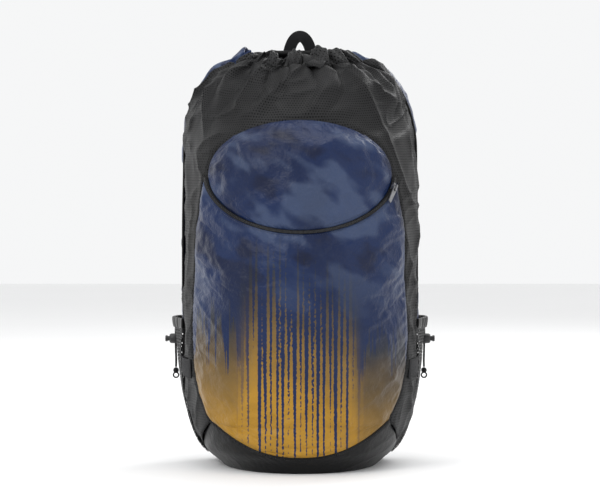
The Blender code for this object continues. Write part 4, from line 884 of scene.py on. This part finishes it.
# Base and toe: black lining cloth cut in one piece round the foot of the bag, with a flat floor.
def satin_dye():
    """Plain black lining cloth: fine weave, soft shine and faint rubbed patches."""
    dye = Dye("black_lining", (0.010, 0.010, 0.011), 0.46, shine=0.20)
    x, y, z = dye.place()
    rub = dye.noise(x, y, z, 30.0, 4.0, 0.6)
    weave = (x * 4200.0 + y * 2100.0).sine() * (z * 4200.0).sine()
    crinkle = dye.noise(x, y, z, 110.0, 4.0, 0.6)
    dye.wet("Base Color", dye.shade(rub, (0.0010, 0.0010, 0.0012), (0.0065, 0.0065, 0.0068)))
    dye.wet("Roughness", 0.27 + rub * 0.20)
    dye.emboss(crinkle * 1.2 + weave * 0.06, 0.0008)
    return dye.material


satin = satin_dye()
columns, rows = 240, 26
seam_gap = 0.0004
base_ways = np.linspace(-half_girth, half_girth, columns + 1)[:-1]
top = foot_line(base_ways)[None, :] - seam_gap
height = np.linspace(1, 0, rows)[:, None]
climb = top * height
way = np.broadcast_to(base_ways, climb.shape)
lift = (0.0010 * creases(way, climb, 21, 0.08, 0.02, 20) - 0.0006
        + seam_pucker(top - climb, way, climb, 22, 0.012, 0.0005))
wall = off_skin(way, climb, lift * ramp(height, 0, 0.15))
wall[..., 2] = np.maximum(wall[..., 2], 0.0)
wall[-1, :, 2] = 0.0
middle = wall[-1].mean(axis=0)
floor_rings = middle + (wall[-1] - middle) * np.linspace(1, 0.02, 12)[1:, None, None]
base = add_grid("base_boot_cloth", np.vstack([wall, floor_rings])[::-1], satin, wrap=True)
finish_cloth(base, 0.0012, "black_satin", "base_boot")
sew("toe_stitches", pouch_bottom[:, 0], pouch_bottom[:, 1] - 0.0035, 0.0003, black_yarn)


# Rear sides and back: a panel of navy print beside each pad, lining cloth below it and across
# the back. Their seams pull the cloth into short puckers.
side_dye = coated_dye("side_print", -0.30, 0.75)


def side_grid(low, high, columns, rows, tag):
    """Grid between the mesh's seam and the back's, from one way up to another."""
    climb = np.broadcast_to(np.linspace(low, high, rows)[:, None], (rows, columns))
    near = np.interp(climb, seam_climbs, side_seam) + seam_gap
    far = np.interp(climb, seam_climbs, back_seam) - seam_gap
    across = np.linspace(0, 1, columns)[None, :]
    way = near + (far - near) * across
    away = np.minimum(np.minimum(way - near, far - way),
                      np.minimum(climb - low, np.where(high > lip - 0.01, 1.0, high - climb)))
    if tag == "left":
        way, climb, away = -way[:, ::-1], climb[:, ::-1], away[:, ::-1]
    return way, climb, away


split_climb = climb_at(lower_side_rise)
pleat_start, pleat_run, pleat_pitch, pleat_height = (
    climb_at(0.84 * body_height), 0.09, 0.022, 0.0022)
side_stitch_inset, welt_radius = 0.0035, 0.0017
rear_climbs = np.linspace(split_climb, climb_at(0.97 * body_height), 120)
welt_climbs = np.linspace(boot_climb, lip - 0.004, 130)
for tag, side, seed in (("right", 1.0, 51), ("left", -1.0, 61)):
    way, climb, away = side_grid(split_climb + seam_gap, lip, 26, 110, tag)
    mouth_pleat = ramp(climb, pleat_start, pleat_start + pleat_run) * pleat_height * np.abs(
        np.sin(2 * np.pi * way / pleat_pitch)) ** 0.7
    points = bagged_out(way, climb, away, 2.0, 0.03, 16, 0.006,
                        coated_folds(way, climb, away, seed, 0.0030) + mouth_pleat)
    cloth_piece("side_cloth_" + tag, points, way, climb, side_dye, coated_thickness, "navy_print",
                "side_panel_" + tag)
    way, climb, away = side_grid(boot_climb, split_climb - seam_gap, 22, 44, tag)
    lift = (0.0020 * creases(way, climb, seed + 5, 0.07, 0.022, 25) - 0.0012
            + seam_pucker(away, way, climb, seed + 6))
    cloth_piece("lower_side_cloth_" + tag, off_skin(way, climb, lift), way, climb, satin, 0.0010,
                "black_satin", "lower_side_" + tag)
    for edge, seam, inward in (("front", side_seam, 1), ("rear", back_seam, -1)):
        stitch_ways = np.interp(rear_climbs, seam_climbs, seam) + inward * side_stitch_inset
        sew("side_stitches_" + edge + "_" + tag, side * stitch_ways, rear_climbs, 0.0010,
            navy_yarn)
        welt_line = off_skin(side * np.interp(welt_climbs, seam_climbs, seam), welt_climbs,
                             cloth_seat)
        welt = add_grid("seam_welt_" + edge + "_" + tag, round_tube(welt_line, welt_radius, 10),
                        satin, wrap=True, ends=True)
        finish_cloth(welt, 0.0, "black_satin", smooth=0)


def across_back(near, columns):
    """Ways from a line on the right of the back to its mirror on the left, and the distance of
    each from the nearer of the two."""
    way = near + 2 * (half_girth - near) * np.linspace(0, 1, columns)[None, :]
    return way, np.minimum(way - near, 2 * half_girth - near - way)


columns, rows = 76, 90
climb = np.broadcast_to(np.linspace(boot_climb, lip, rows)[:, None], (rows, columns))
way, away = across_back(np.interp(climb, seam_climbs, back_seam), columns)
beside_pad = ramp(away, 0.040, 0)
lift = ((0.0090 * creases(way, climb, 71, 0.045, 0.024, 14) - 0.0038) * beside_pad ** 0.5
        * ramp(away, 0, 0.004) + seam_pucker(away, way, climb, 72, 0.014, 0.0012))
cloth_piece("back_cloth", off_skin(way, climb, lift), way, climb, satin, 0.0012, "black_satin",
            "back_panel")


# Mouth: each panel's top edge is turned in over the drawn hem and gathered, so it stands up in
# uneven pleats; a fold of the mesh hangs over it right of the middle.
casing_climbs = lip - np.array([0.026, 0.024, 0.019, 0.012, 0.006, 0.002, 0.0, 0.0, 0.0, 0.002,
                                0.006, 0.012, 0.020, 0.030, 0.040])
casing_lift = np.array([-0.0006, 0.0012, 0.0030, 0.0036, 0.0034, 0.0026, 0.0012, -0.0004, -0.0022,
                        -0.0038, -0.0046, -0.0046, -0.0042, -0.0038, -0.0034])
casing_rise = np.array([0, 0, 0, 0, 0, 0.0004, 0.0016, 0.0020, 0.0014, 0.0002, 0, 0, 0, 0, 0])
hem_drop, mouth_stand = 0.026, 0.0150
def mouth_casing(name, low, high, columns, dye, slot):
    """Turned-in hem between two ways round: the profile of lifts and rises above, moved out by the
    pleats and by finer tucks, a sine bent by noise, and raised by half a cosine at the front."""
    way, climb = np.meshgrid(np.linspace(low, high, columns), casing_climbs)
    round_it = np.abs(way) / half_girth
    pleats = mouth_pleats(way, climb)
    tuck = pleats * 0.0075 * ramp(climb, lip - 0.060, lip)
    fine = 0.0014 * np.sin(2 * np.pi * way / 0.0105 + 2.5 * cloth_noise(way / 0.03, climb * 30, 15))
    fine = fine * ramp(round_it, 0.76, 0.66)
    points = off_skin(way, climb, casing_lift[:, None] + tuck + fine + 0.0012)
    stand = ramp(climb, lip - hem_drop, lip) * (
        0.5 + 0.5 * np.cos(np.pi * ramp(round_it, 0, 0.76)))
    points[..., 2] += (casing_rise[:, None] + mouth_stand * stand
                       + 0.0040 * pleats * (climb > lip - 0.01))
    cloth_piece(name, points, way, climb, dye, 0.0008, slot)


side_at_lip, back_at_lip = side_seam[-1], back_seam[-1]
mouth_casing("mouth_casing_front", -side_at_lip, side_at_lip, 400, body_mesh.material, "black_mesh")
mouth_casing("mouth_casing_right", side_at_lip, back_at_lip, 70, side_dye, "navy_print")
mouth_casing("mouth_casing_left", -back_at_lip, -side_at_lip, 70, side_dye, "navy_print")
mouth_casing("mouth_casing_back", back_at_lip, 2 * half_girth - back_at_lip, 60, satin,
             "black_satin")

cuff_middle, cuff_half, cuff_flare, cuff_fall = 0.034, 0.021, 0.006, 0.040
across, fall = np.meshgrid(np.linspace(-1, 1, 40), np.linspace(1, 0, 34))
way = cuff_middle + across * (cuff_half + cuff_flare * np.sin(np.pi * fall))
climb = lip + 0.002 - (0.004 + cuff_fall * fall * (1 - 0.30 * np.abs(across) ** 3)
                       + 0.004 * across)
belly = np.sin(np.pi * np.clip(fall * 1.05, 0, 1)) ** 0.7 * (1 - across**2) ** 0.6
lift = 0.0058 + 0.0060 * belly + 0.0016 * np.sin(5 * across + 3 * fall) * (1 - across**2)
points = off_skin(way, np.minimum(climb, lip), lift)
points[..., 2] += mouth_stand * ramp(climb, lip - hem_drop, lip)
cloth_piece("mouth_cuff", points, way, climb, body_mesh.material, 0.0022, "black_mesh")


# Back pad: foam under charcoal spacer cloth, sewn round its edge to the back, with shallow level
# creases where it bends.
pad_width, pad_flare, pad_bottom, pad_top = 0.154, 0.021, 0.030, 0.523
pad_seat, pad_thickness, pad_edge, pad_cloth = 0.0013, 0.007, 0.016, 0.0040
pad_stitch_inset, crease_half = 0.0035, 0.0045


def charcoal_dye():
    """Spacer cloth: matte charcoal with fine salt-and-pepper yarn."""
    dye = Dye("charcoal_spacer", (0.040, 0.040, 0.042), 0.88)
    x, y, z = dye.place()
    pepper = dye.noise(x, y, z, 1500.0)
    cloud = dye.noise(x, y, z * 2.5, 16.0, 3.0)
    dots = (x * 2600.0).sine() * (z * 2600.0).sine()
    dye.wet("Base Color", dye.shade(pepper * 0.75 + cloud * 0.45 - 0.1, (0.015, 0.015, 0.0155),
                                    (0.064, 0.064, 0.066)))
    dye.emboss(pepper * 0.6 + dots * 0.2, 0.0007)
    return dye.material


columns, rows = 76, 150
pad_climbs = np.linspace(climb_at(pad_bottom), climb_at(pad_top), rows)
flare = pad_flare * ramp(np.linspace(0, 1, rows), 0.22, 0) ** 1.5
near = back_way(pad_width / 2 + flare, pad_climbs)
climb = np.broadcast_to(pad_climbs[:, None], (rows, columns))
way, away = across_back(near[:, None], columns)
away = np.minimum(away, np.minimum(climb - climb[0, 0], climb[-1, 0] - climb))
crown = ramp(away, 0, pad_edge)
height = skin(way, climb)[..., 2]
wander = 0.005 * cloth_noise(way / 0.05, climb / 0.09, 83)
level = sum(-depth * np.exp(-((height + wander - rise) / crease_half) ** 2) for rise, depth in (
    (0.446, 0.0028), (0.421, 0.0032), (0.397, 0.0036), (0.372, 0.0032), (0.340, 0.0026),
    (0.312, 0.0020)))
lift = (pad_seat + pad_thickness * (0.30 + 0.70 * np.sqrt(crown * (2 - crown)))
        + (level * (0.6 + 0.4 * cloth_noise(way / 0.04, climb / 0.03, 84))
           + 0.0010 * cloth_noise(way / 0.035, climb / 0.06, 85)) * crown)
points = filled_out(off_skin(way, climb, lift), ramp(away, 0, 0.008), 1.5, 0.010, 12, 0.003)
back_pad = cloth_piece("back_pad_cloth", points, way, climb, charcoal_dye(), pad_cloth,
                       "charcoal_cloth", "back_pad")
near = near + pad_stitch_inset
for tag, line in (("right", near), ("left", 2 * half_girth - near)):
    sew("pad_stitches_" + tag, line, pad_climbs, 0.0052, black_yarn, 0.0034)


# Side pockets: open net of black yarn round each rear corner, drawn up by a cord in a doubled
# hem, and a flat strip of webbing across the mesh in front of each.
pocket_bottom, pocket_rim, pocket_front_depth = 0.016, 0.197, 0.052
pocket_bulge, pocket_rearward = 0.037, 2.0
pocket_ripple, pocket_rear_gap, hem_height, hem_depth = 0.0015, 0.003, 0.015, 0.0036
side_web_rise, side_web_width, side_web_front, side_web_rear = 0.133, 0.025, -0.033, 0.048
net_lift, pocket_hem_lift, side_web_lift = 0.0035, 0.0034, 0.0026
pocket_foot, pocket_top = climb_at(pocket_bottom), climb_at(pocket_rim)
pocket_front = depth_way(pocket_front_depth, pocket_top)
pocket_rear = back_way(back_seam_width / 2, pocket_top) - pocket_rear_gap


def round_pocket(way):
    """Share of the way round a pocket, 0 at its front edge and 1 at its rear."""
    return ramp(np.abs(way), pocket_front, pocket_rear)

def pocket_skin(way, climb, height):
    """Pocket's outer face: the skin lifted by a height, and out and rearward by a belly that is
    fullest at the rim, a power of a sine round it and of the height up it."""
    round_it, up_it = round_pocket(way), ramp(climb, pocket_foot, pocket_top)
    belly = np.sin(np.pi * round_it ** 1.25) ** 0.8 * (0.10 * up_it + 0.90 * up_it**1.8)
    ripple = pocket_ripple * np.cos(7 * np.pi * round_it) * up_it * np.sin(np.pi * round_it)
    normal = skin_normal(way, climb)
    rearward = unit(normal + np.array([0.0, pocket_rearward, 0.0]))
    return (skin(way, climb) + normal * height
            + rearward * (pocket_bulge * belly + ripple)[..., None])


def blunted(wave, size, power):
    """One side of a flat section with round edges: half its size times a sine or cosine, already
    taken, to a power under 1 that keeps its sign."""
    return size / 2 * np.sign(wave) * np.abs(wave) ** power


net, net_yarn = mesh_dye("pocket_net", 0.0042, 0.0046, 0.52, 0.034)
net.wet("Alpha", net_yarn.step(0.0, 0.22))
webbing = braid_dye("black_webbing", 0.0022, 2.0)
hem_foot = climb_at(pocket_rim - hem_height)
turn = (np.arange(20) / 20 * 2 * np.pi)[:, None]
hem_climb = hem_foot + (pocket_top - hem_foot) * (1 - np.cos(turn)) / 2
hem_out = blunted(np.sin(turn), hem_depth, 0.6)
web_low, web_high = (climb_at(side_web_rise + half * side_web_width / 2) for half in (-1, 1))
web_start = depth_way(side_web_front, web_high) + 0.004
web_stop = depth_way(side_web_rear, web_high)
for tag, side in (("right", 1), ("left", -1)):
    way, climb = np.meshgrid(side * np.linspace(pocket_front, pocket_rear, 60)[::side],
                             np.linspace(pocket_foot, hem_foot, 70))
    sag = 0.0012 * cloth_noise(way / 0.03, climb / 0.05, 91) * np.sin(np.pi * round_pocket(way))
    points = pocket_skin(way, climb, net_lift)
    points = points + outward(points) * sag[..., None]
    cloth_piece("pocket_net_" + tag, points, way, climb, net.material, 0.0008, "black_mesh",
                "pocket_" + tag)
    way, climb = np.broadcast_arrays(
        side * np.linspace(pocket_front, pocket_rear, 150)[None, ::side], hem_climb)
    ruffle = 0.0010 * np.sin(2 * np.pi * way / 0.0085 + 2 * cloth_noise(way / 0.02, way * 0, 93))
    lift = hem_out + ruffle * np.sin(np.pi * round_pocket(way))
    hem = pocket_skin(way, climb, pocket_hem_lift) + skin_normal(way, climb) * lift[..., None]
    hem = add_grid("pocket_hem_cloth_" + tag, hem.transpose(1, 0, 2)[::side], satin, wrap=True,
                   ends=True)
    finish_cloth(hem, 0.0, "black_satin", "pocket_hem_" + tag)
    way, climb = np.meshgrid(side * np.linspace(web_start, web_stop, 40)[::side],
                             np.linspace(web_low, web_high, 9))
    cloth_piece("side_webbing_cloth_" + tag, off_skin(way, climb, side_web_lift), way, climb,
                webbing, 0.0014, "black_webbing", "side_webbing_" + tag, smooth=0)
    sew("webbing_tack_" + tag, side * np.full(20, web_start + 0.004),
        np.linspace(web_low + 0.002, web_high - 0.002, 20), 0.0030, black_yarn,
        0.0028)


# Shoulder straps: foam between black cloth with a gold printed face let into the outer side,
# stitched along both edges and narrowed to the width of the webbing patch that holds the buckle.
strap_width, strap_thickness, strap_spacing, strap_reach = 0.060, 0.014, 0.124, 0.114
face_width, face_thickness = 0.041, 0.0008
strap_stitch, strap_stitch_pitch, strap_stitch_lift = (0.0022, 0.0006, 0.0006), 0.0034, 0.0069
strap_narrowing, narrowing_start = 0.42, 0.86
strap_rows = {
    "left": ((0.000, 0.965, 1.00, 0), (0.280, 0.968, 1.00, 0), (0.520, 0.951, 0.99, 0),
             (0.710, 0.926, 0.98, 2), (0.880, 0.885, 0.96, 4), (0.975, 0.830, 0.94, 5),
             (1.000, 0.765, 0.92, 6), (0.985, 0.700, 0.92, 6), (0.905, 0.596, 0.93, 6),
             (0.780, 0.500, 0.97, 4), (0.620, 0.430, 1.00, 2)),
    "right": ((0.000, 0.965, 1.00, 0), (0.130, 0.963, 1.00, 0), (0.230, 0.935, 0.99, 8),
              (0.320, 0.895, 0.98, 20), (0.365, 0.840, 0.96, 30), (0.385, 0.765, 0.94, 34),
              (0.380, 0.690, 0.93, 34), (0.345, 0.600, 0.95, 28), (0.270, 0.510, 0.98, 14),
              (0.200, 0.430, 1.00, 4))}


def gold_dye():
    """Printed gold cloth: brushed weave with cloudy paler patches and fine speckle."""
    dye = Dye("gold_print", (0.76, 0.43, 0.10), 0.62, sheen=0.1)
    x, y, z = dye.place()
    u, v = dye.weave()
    cloud = dye.noise(x, y, z, 22.0, 4.0, 0.6)
    speck = dye.noise(u, v, 0.0, 1300.0)
    weave = (u * 4400.0).sine() * (v * 4400.0).sine()
    dyed = dye.shade((cloud - 0.40) * 2.4 + (0.46 - z) * 1.2 + 0.15, (0.58, 0.28, 0.035),
                     (0.78, 0.49, 0.15))
    dye.wet("Base Color", dye.shade((speck - 0.42) * 1.3, dyed, (0.46, 0.21, 0.025)))
    dye.emboss(speck * 0.5 + weave * 0.15 + cloud, 0.0006)
    return dye.material


def strap_frame(line, twist=0.0):
    """A strap's width and outer face along its line: square to the line, from the bag's width,
    turned about the line by the twist in degrees."""
    tangent = unit(np.gradient(line, axis=0))
    across = unit(np.array([1.0, 0.0, 0.0]) - tangent * tangent[:, :1])
    face = np.cross(tangent, across)
    turn = np.radians(twist)
    across, face = (across * np.cos(turn) + face * np.sin(turn),
                    face * np.cos(turn) - across * np.sin(turn))
    return across, (-face if face[len(face) // 2, 1] < 0 else face)


gold_cloth = gold_dye()
gold_yarn = yarn_dye("gold_yarn", (0.45, 0.25, 0.05))
strap_parts = {}
strap_steps = 170
along = np.linspace(0, 1, strap_steps)
strap_taper = 1 - strap_narrowing * ramp(along, narrowing_start, 1) ** 1.5
thin = ramp(along, 0, 0.05)[:, None] * 0.35 + 0.65
turn = np.arange(48) / 48 * 2 * np.pi
rows = slice(4, strap_steps - 7)
wrinkle_pitch = 0.017
for tag, side in (("left", -1), ("right", 1)):
    route = smooth_line([(side * spread * strap_spacing / 2,
                          back_depth + cloth_seat + out * strap_reach, rise * body_height,
                          twist * side) for out, rise, spread, twist in strap_rows[tag]],
                        strap_steps)
    line = route[:, :3]
    across, face = strap_frame(line, route[:, 3:])
    length = lengths_along(line)[:, None]
    bend = np.linalg.norm(np.gradient(np.gradient(line, axis=0), axis=0), axis=1)[:, None]
    bend = bend / bend.max()
    x, y = blunted(np.cos(turn), strap_width, 0.45), blunted(np.sin(turn), strap_thickness, 0.7)
    stitched = np.exp(-((np.abs(x) - 0.0225) / 0.0022) ** 2) * (y > 0)
    wrinkle = (0.0012 * cloth_noise(length / 0.016, x[None] / 0.03, 101 + side)
               + 0.0014 * bend * np.sin(2 * np.pi * length / wrinkle_pitch)) * np.sign(y)
    section = y * thin - 0.0017 * stitched + wrinkle * (np.abs(x) < 0.028)
    rings = (line[:, None] + across[:, None] * (x * strap_taper[:, None])[..., None]
             + face[:, None] * section[..., None])
    order = 1 if np.dot(np.cross(across[5], face[5]), line[6] - line[5]) > 0 else -1
    pad = add_grid("strap_cloth_" + tag, rings[:, ::order], satin, wrap=True, ends=True)
    finish_cloth(pad, 0.0, "black_satin", "strap_pad_" + tag)
    x = np.linspace(-1, 1, 26)
    top = strap_thickness / 2 * (1 - np.abs(x * face_width / strap_width) ** 4.4) ** 0.35
    crinkle = (0.0013 * cloth_noise(length / 0.02, x[None] * 1.4, 111 + side)
               + 0.0013 * bend * np.sin(2 * np.pi * length / wrinkle_pitch + 1.2 * x**2)
               + 0.0018 * creases(x * 0.02 + 0 * length, length, 115, 0.05, 0.016, 12)
               * np.exp(-((along[:, None] - 0.66) / 0.10) ** 2))
    edge = ramp(np.abs(x), 1, 0.90)
    lift = top * thin + 0.0014 - 0.0011 * (1 - edge) ** 2 + crinkle * edge
    half = face_width / 2 * strap_taper[:, None] * x
    sheet = (line[:, None] + across[:, None] * half[..., None]
             + face[:, None] * lift[..., None])[rows, ::order]
    uv = np.stack(np.broadcast_arrays(half, length), axis=-1)[rows, ::order]
    gold_face = add_grid("strap_face_cloth_" + tag, sheet, gold_cloth, uv)
    finish_cloth(gold_face, face_thickness, "gold_cloth", "strap_face_" + tag)
    for edge_side, end in ((-1, "_in"), (1, "_out")):
        for name, inset, lift, yarn, slot in (
                ("face", 0.0016, 0.0009, gold_yarn, "gold_cloth"),
                ("edge", -0.0045, -0.0004, black_yarn, "black_satin")):
            reach = edge_side * (face_width / 2 - inset) * strap_taper[:, None]
            run = (line + across * reach + face * (strap_stitch_lift * thin + lift))[rows]
            middle, ahead, at = evenly(run, strap_stitch_pitch)
            spot = np.interp(at, np.linspace(0, at[-1], len(run)), np.arange(len(run))).astype(int)
            little_beads("strap_" + name + "_stitches_" + tag + end, middle, ahead,
                         face[rows][spot], strap_stitch, yarn)
    strap_parts[tag] = (line, across, face)


# Webbing: box-stitched patch over each strap's lower end, the moulded ladder lock that it holds,
# and the woven strap that runs from there to the corner of the base, its free end hanging.
web_width, web_thickness, patch_width, patch_seat = 0.025, 0.0018, 0.025, 0.0098
buckle_length, buckle_drop, web_step_off = 0.042, 0.0214, 0.009
web_rows = {
    "left": ((0.29, 0.245, 1.16), (0.17, 0.195, 1.32), (0.075, 0.163, 1.50), (0.0, 0.150, 1.74)),
    "right": ((0.13, 0.250, 1.14), (0.095, 0.205, 1.28), (0.05, 0.170, 1.48), (0.0, 0.150, 1.74))}
tail_rows = {
    "left": ((0.64, 0.235, 0.93), (0.52, 0.165, 0.93), (0.34, 0.100, 0.94), (0.18, 0.072, 0.95)),
    "right": ((0.255, 0.235, 0.93), (0.22, 0.165, 0.93), (0.18, 0.110, 0.94), (0.14, 0.075, 0.95))}


def plastic_dye(name):
    """Moulded black nylon: faint grain, a soft gloss and slightly paler rubbed patches."""
    dye = Dye(name, (0.010, 0.010, 0.011), 0.30, shine=0.5)
    x, y, z = dye.place()
    grain = dye.noise(x, y, z, 1400.0, 3.0)
    rub = dye.noise(x, y, z, 120.0, 3.0)
    dye.wet("Base Color", dye.shade(rub * 0.8, (0.005, 0.005, 0.006), (0.020, 0.020, 0.022)))
    dye.wet("Roughness", 0.24 + grain * 0.10 + rub * 0.12)
    dye.emboss(grain, 0.00015)
    return dye.material


def webbing_band(name, line, frame_of, width, thickness, low, *replaced):
    """Woven band: a flat section with round edges, a sine and a cosine to the power 0.3, carried
    along a line in its frame of width and outer face."""
    across, face = frame_of
    turn = np.arange(20) / 20 * 2 * np.pi
    x = blunted(np.cos(turn), width, 0.3)[:, None]
    y = low + thickness / 2 + blunted(np.sin(turn), thickness, 0.3)[:, None]
    rings = line[:, None] + across[:, None] * x + face[:, None] * y
    if np.dot(np.cross(across[2], face[2]), line[3] - line[2]) < 0:
        rings = rings[:, ::-1]
    band = add_grid(name, rings, webbing, wrap=True, ends=True)
    finish_cloth(band, 0.0, "black_webbing", *replaced, smooth=0)


def rear_facing(line):
    """Width and outer face of webbing that keeps its face to the rear."""
    tangent = np.gradient(line, axis=0)
    across = unit(np.cross(tangent, (0.0, 1.0, 0.0)))
    return across, unit(np.cross(across, tangent))


plastic = plastic_dye("moulded_nylon")
for node in ("buckle_left", "buckle_right", "cord_lock_left", "cord_lock_right",
             "lock_button_left", "lock_button_right", "sternum_keeper"):
    for place in nodes[node].material_slots:
        place.material = plastic

box_corners = np.array([(-1, 0.06), (1, 0.06), (1, 0.94), (-1, 0.94), (-1, 0.06), (1, 0.94),
                        (1, 0.06), (-1, 0.94)])
share = np.linspace(0, 1, 12)[:, None]
box_spots = np.vstack([start + (stop - start) * share
                       for start, stop in zip(box_corners[:-1], box_corners[1:])])
loop_width = 0.0235
end = buckle_drop + buckle_length / 2 + 0.0004


def hung(side, rows_out):
    """Points of a webbing's rows, on a side: across, out from the back, and up."""
    return [(side * spread * strap_spacing / 2, back_depth + 0.0016 + reach * 0.121,
             rise * body_height) for reach, rise, spread in rows_out]


for tag, side in (("left", -1), ("right", 1)):
    line, across, face = strap_parts[tag]
    rows = np.arange(int(0.885 * len(line)), int(0.966 * len(line)))
    webbing_band("strap_patch_cloth_" + tag, line[rows], (across[rows], face[rows]), patch_width,
                 web_thickness, patch_seat, "strap_patch_" + tag)
    at = rows[0] + box_spots[:, 1] * (len(rows) - 1)
    nearest = np.round(at).astype(int)
    on_line = (read_along(line, np.arange(len(line)), at)
               + across[nearest] * (box_spots[:, :1] * (patch_width / 2 - 0.0028))
               + face[nearest] * (patch_seat + web_thickness + 0.0002))
    little_beads("box_stitches_" + tag, on_line, np.gradient(on_line, axis=0), face[nearest],
                 (0.0018, 0.0006, 0.0005), gold_yarn)

    tip = line[-1]
    down = unit(tip - line[-2])
    out = unit(np.cross(across[-1], down))
    if np.dot(out, face[-1]) < 0:
        out = -out
    web_line = smooth_line([tip + down * end, tip + down * (end + web_step_off)]
                           + hung(side, web_rows[tag]), 60)
    webbing_band("lower_webbing_cloth_" + tag, web_line, rear_facing(web_line), web_width,
                 web_thickness, 0.0, "lower_webbing_" + tag)
    tail_line = smooth_line([tip + down * (end + web_thickness) + out * 0.0054]
                            + hung(side, tail_rows[tag]), 60)
    webbing_band("strap_tail_cloth_" + tag, tail_line, strap_frame(tail_line), web_width,
                 web_thickness, 0.0, "strap_tail_" + tag)
    over = smooth_line([tip + out * rise + down * drop for rise, drop in (
        (0.0092, 0.0015), (0.0062, 0.0100), (0.0054, 0.0200))], 14)
    fold = smooth_line(tail_line[-1] + [(0, 0, 0), (0, -0.0030, -0.0030), (0, -0.0036, 0.004),
                                        (0, -0.0030, 0.016)], 16)
    for name, line, width in (("ladder_loop_", over, loop_width), ("tail_fold_", fold, web_width)):
        webbing_band(name + tag, line, strap_frame(line), width, web_thickness,
                     -web_thickness / 2)


# Haul loop: a band of webbing folded to a point and sewn into the top seam of the back, and the
# free end of the chest strap, which hangs from the keeper on the left strap.
loop_reach, loop_band, loop_thickness, loop_foot, loop_rise, loop_lean = (
    0.018, 0.016, 0.003, 0.970, 0.046, 0.010)
turn = np.linspace(-1, 1, 90)
x = loop_reach * np.sin(turn * np.pi / 2) * (1 - 0.18 * (1 - np.abs(turn)))
z = loop_foot * body_height + loop_rise * (1 - np.abs(turn) ** 2.2)
climb = climb_at(np.minimum(z, body_height * 0.995))
y = (skin(back_way(np.abs(x), climb), climb)[:, 1] + 0.0023
     - loop_lean * ((z - z.min()) / loop_rise) ** 2)
loop_line = np.column_stack([x, y, z])
webbing_band("haul_loop_cloth", loop_line, rear_facing(loop_line), loop_band, loop_thickness,
             -loop_thickness / 2, "haul_loop")

low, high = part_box("sternum_tail")
fall = np.linspace(0, 1, 24)
chest_tail_width, chest_tail_thickness = 0.0195, 0.0017
tail_line = np.column_stack([np.full(24, (low[0] + high[0]) / 2),
                             high[1] - 0.0010 - 0.006 * np.sin(fall * 2.4),
                             high[2] - 0.0004 - (high[2] - low[2] - 0.0008) * fall])
webbing_band("sternum_tail_cloth", tail_line, strap_frame(tail_line), chest_tail_width,
             chest_tail_thickness, -0.0008, "sternum_tail")


# Studio floor: a pale seamless sheet under the bag.
floor_mesh = bpy.data.meshes.new("floor")
floor_half = 6
floor_mesh.from_pydata([(floor_half * x, floor_half * y, 0) for x, y in (
    (-1, -1), (1, -1), (1, 1), (-1, 1))], [], [(0, 1, 2, 3)])
floor = bpy.data.objects.new("floor", floor_mesh)
bpy.context.scene.collection.objects.link(floor)
floor_dye = Dye("floor", (0.80, 0.80, 0.80), 0.6)
x, y, z = floor_dye.place()
floor_dye.wet("Base Color", floor_dye.shade(floor_dye.noise(x, y, z, 3.0), (0.87, 0.87, 0.87),
                                            (0.89, 0.89, 0.89)))
floor.data.materials.append(floor_dye.material)
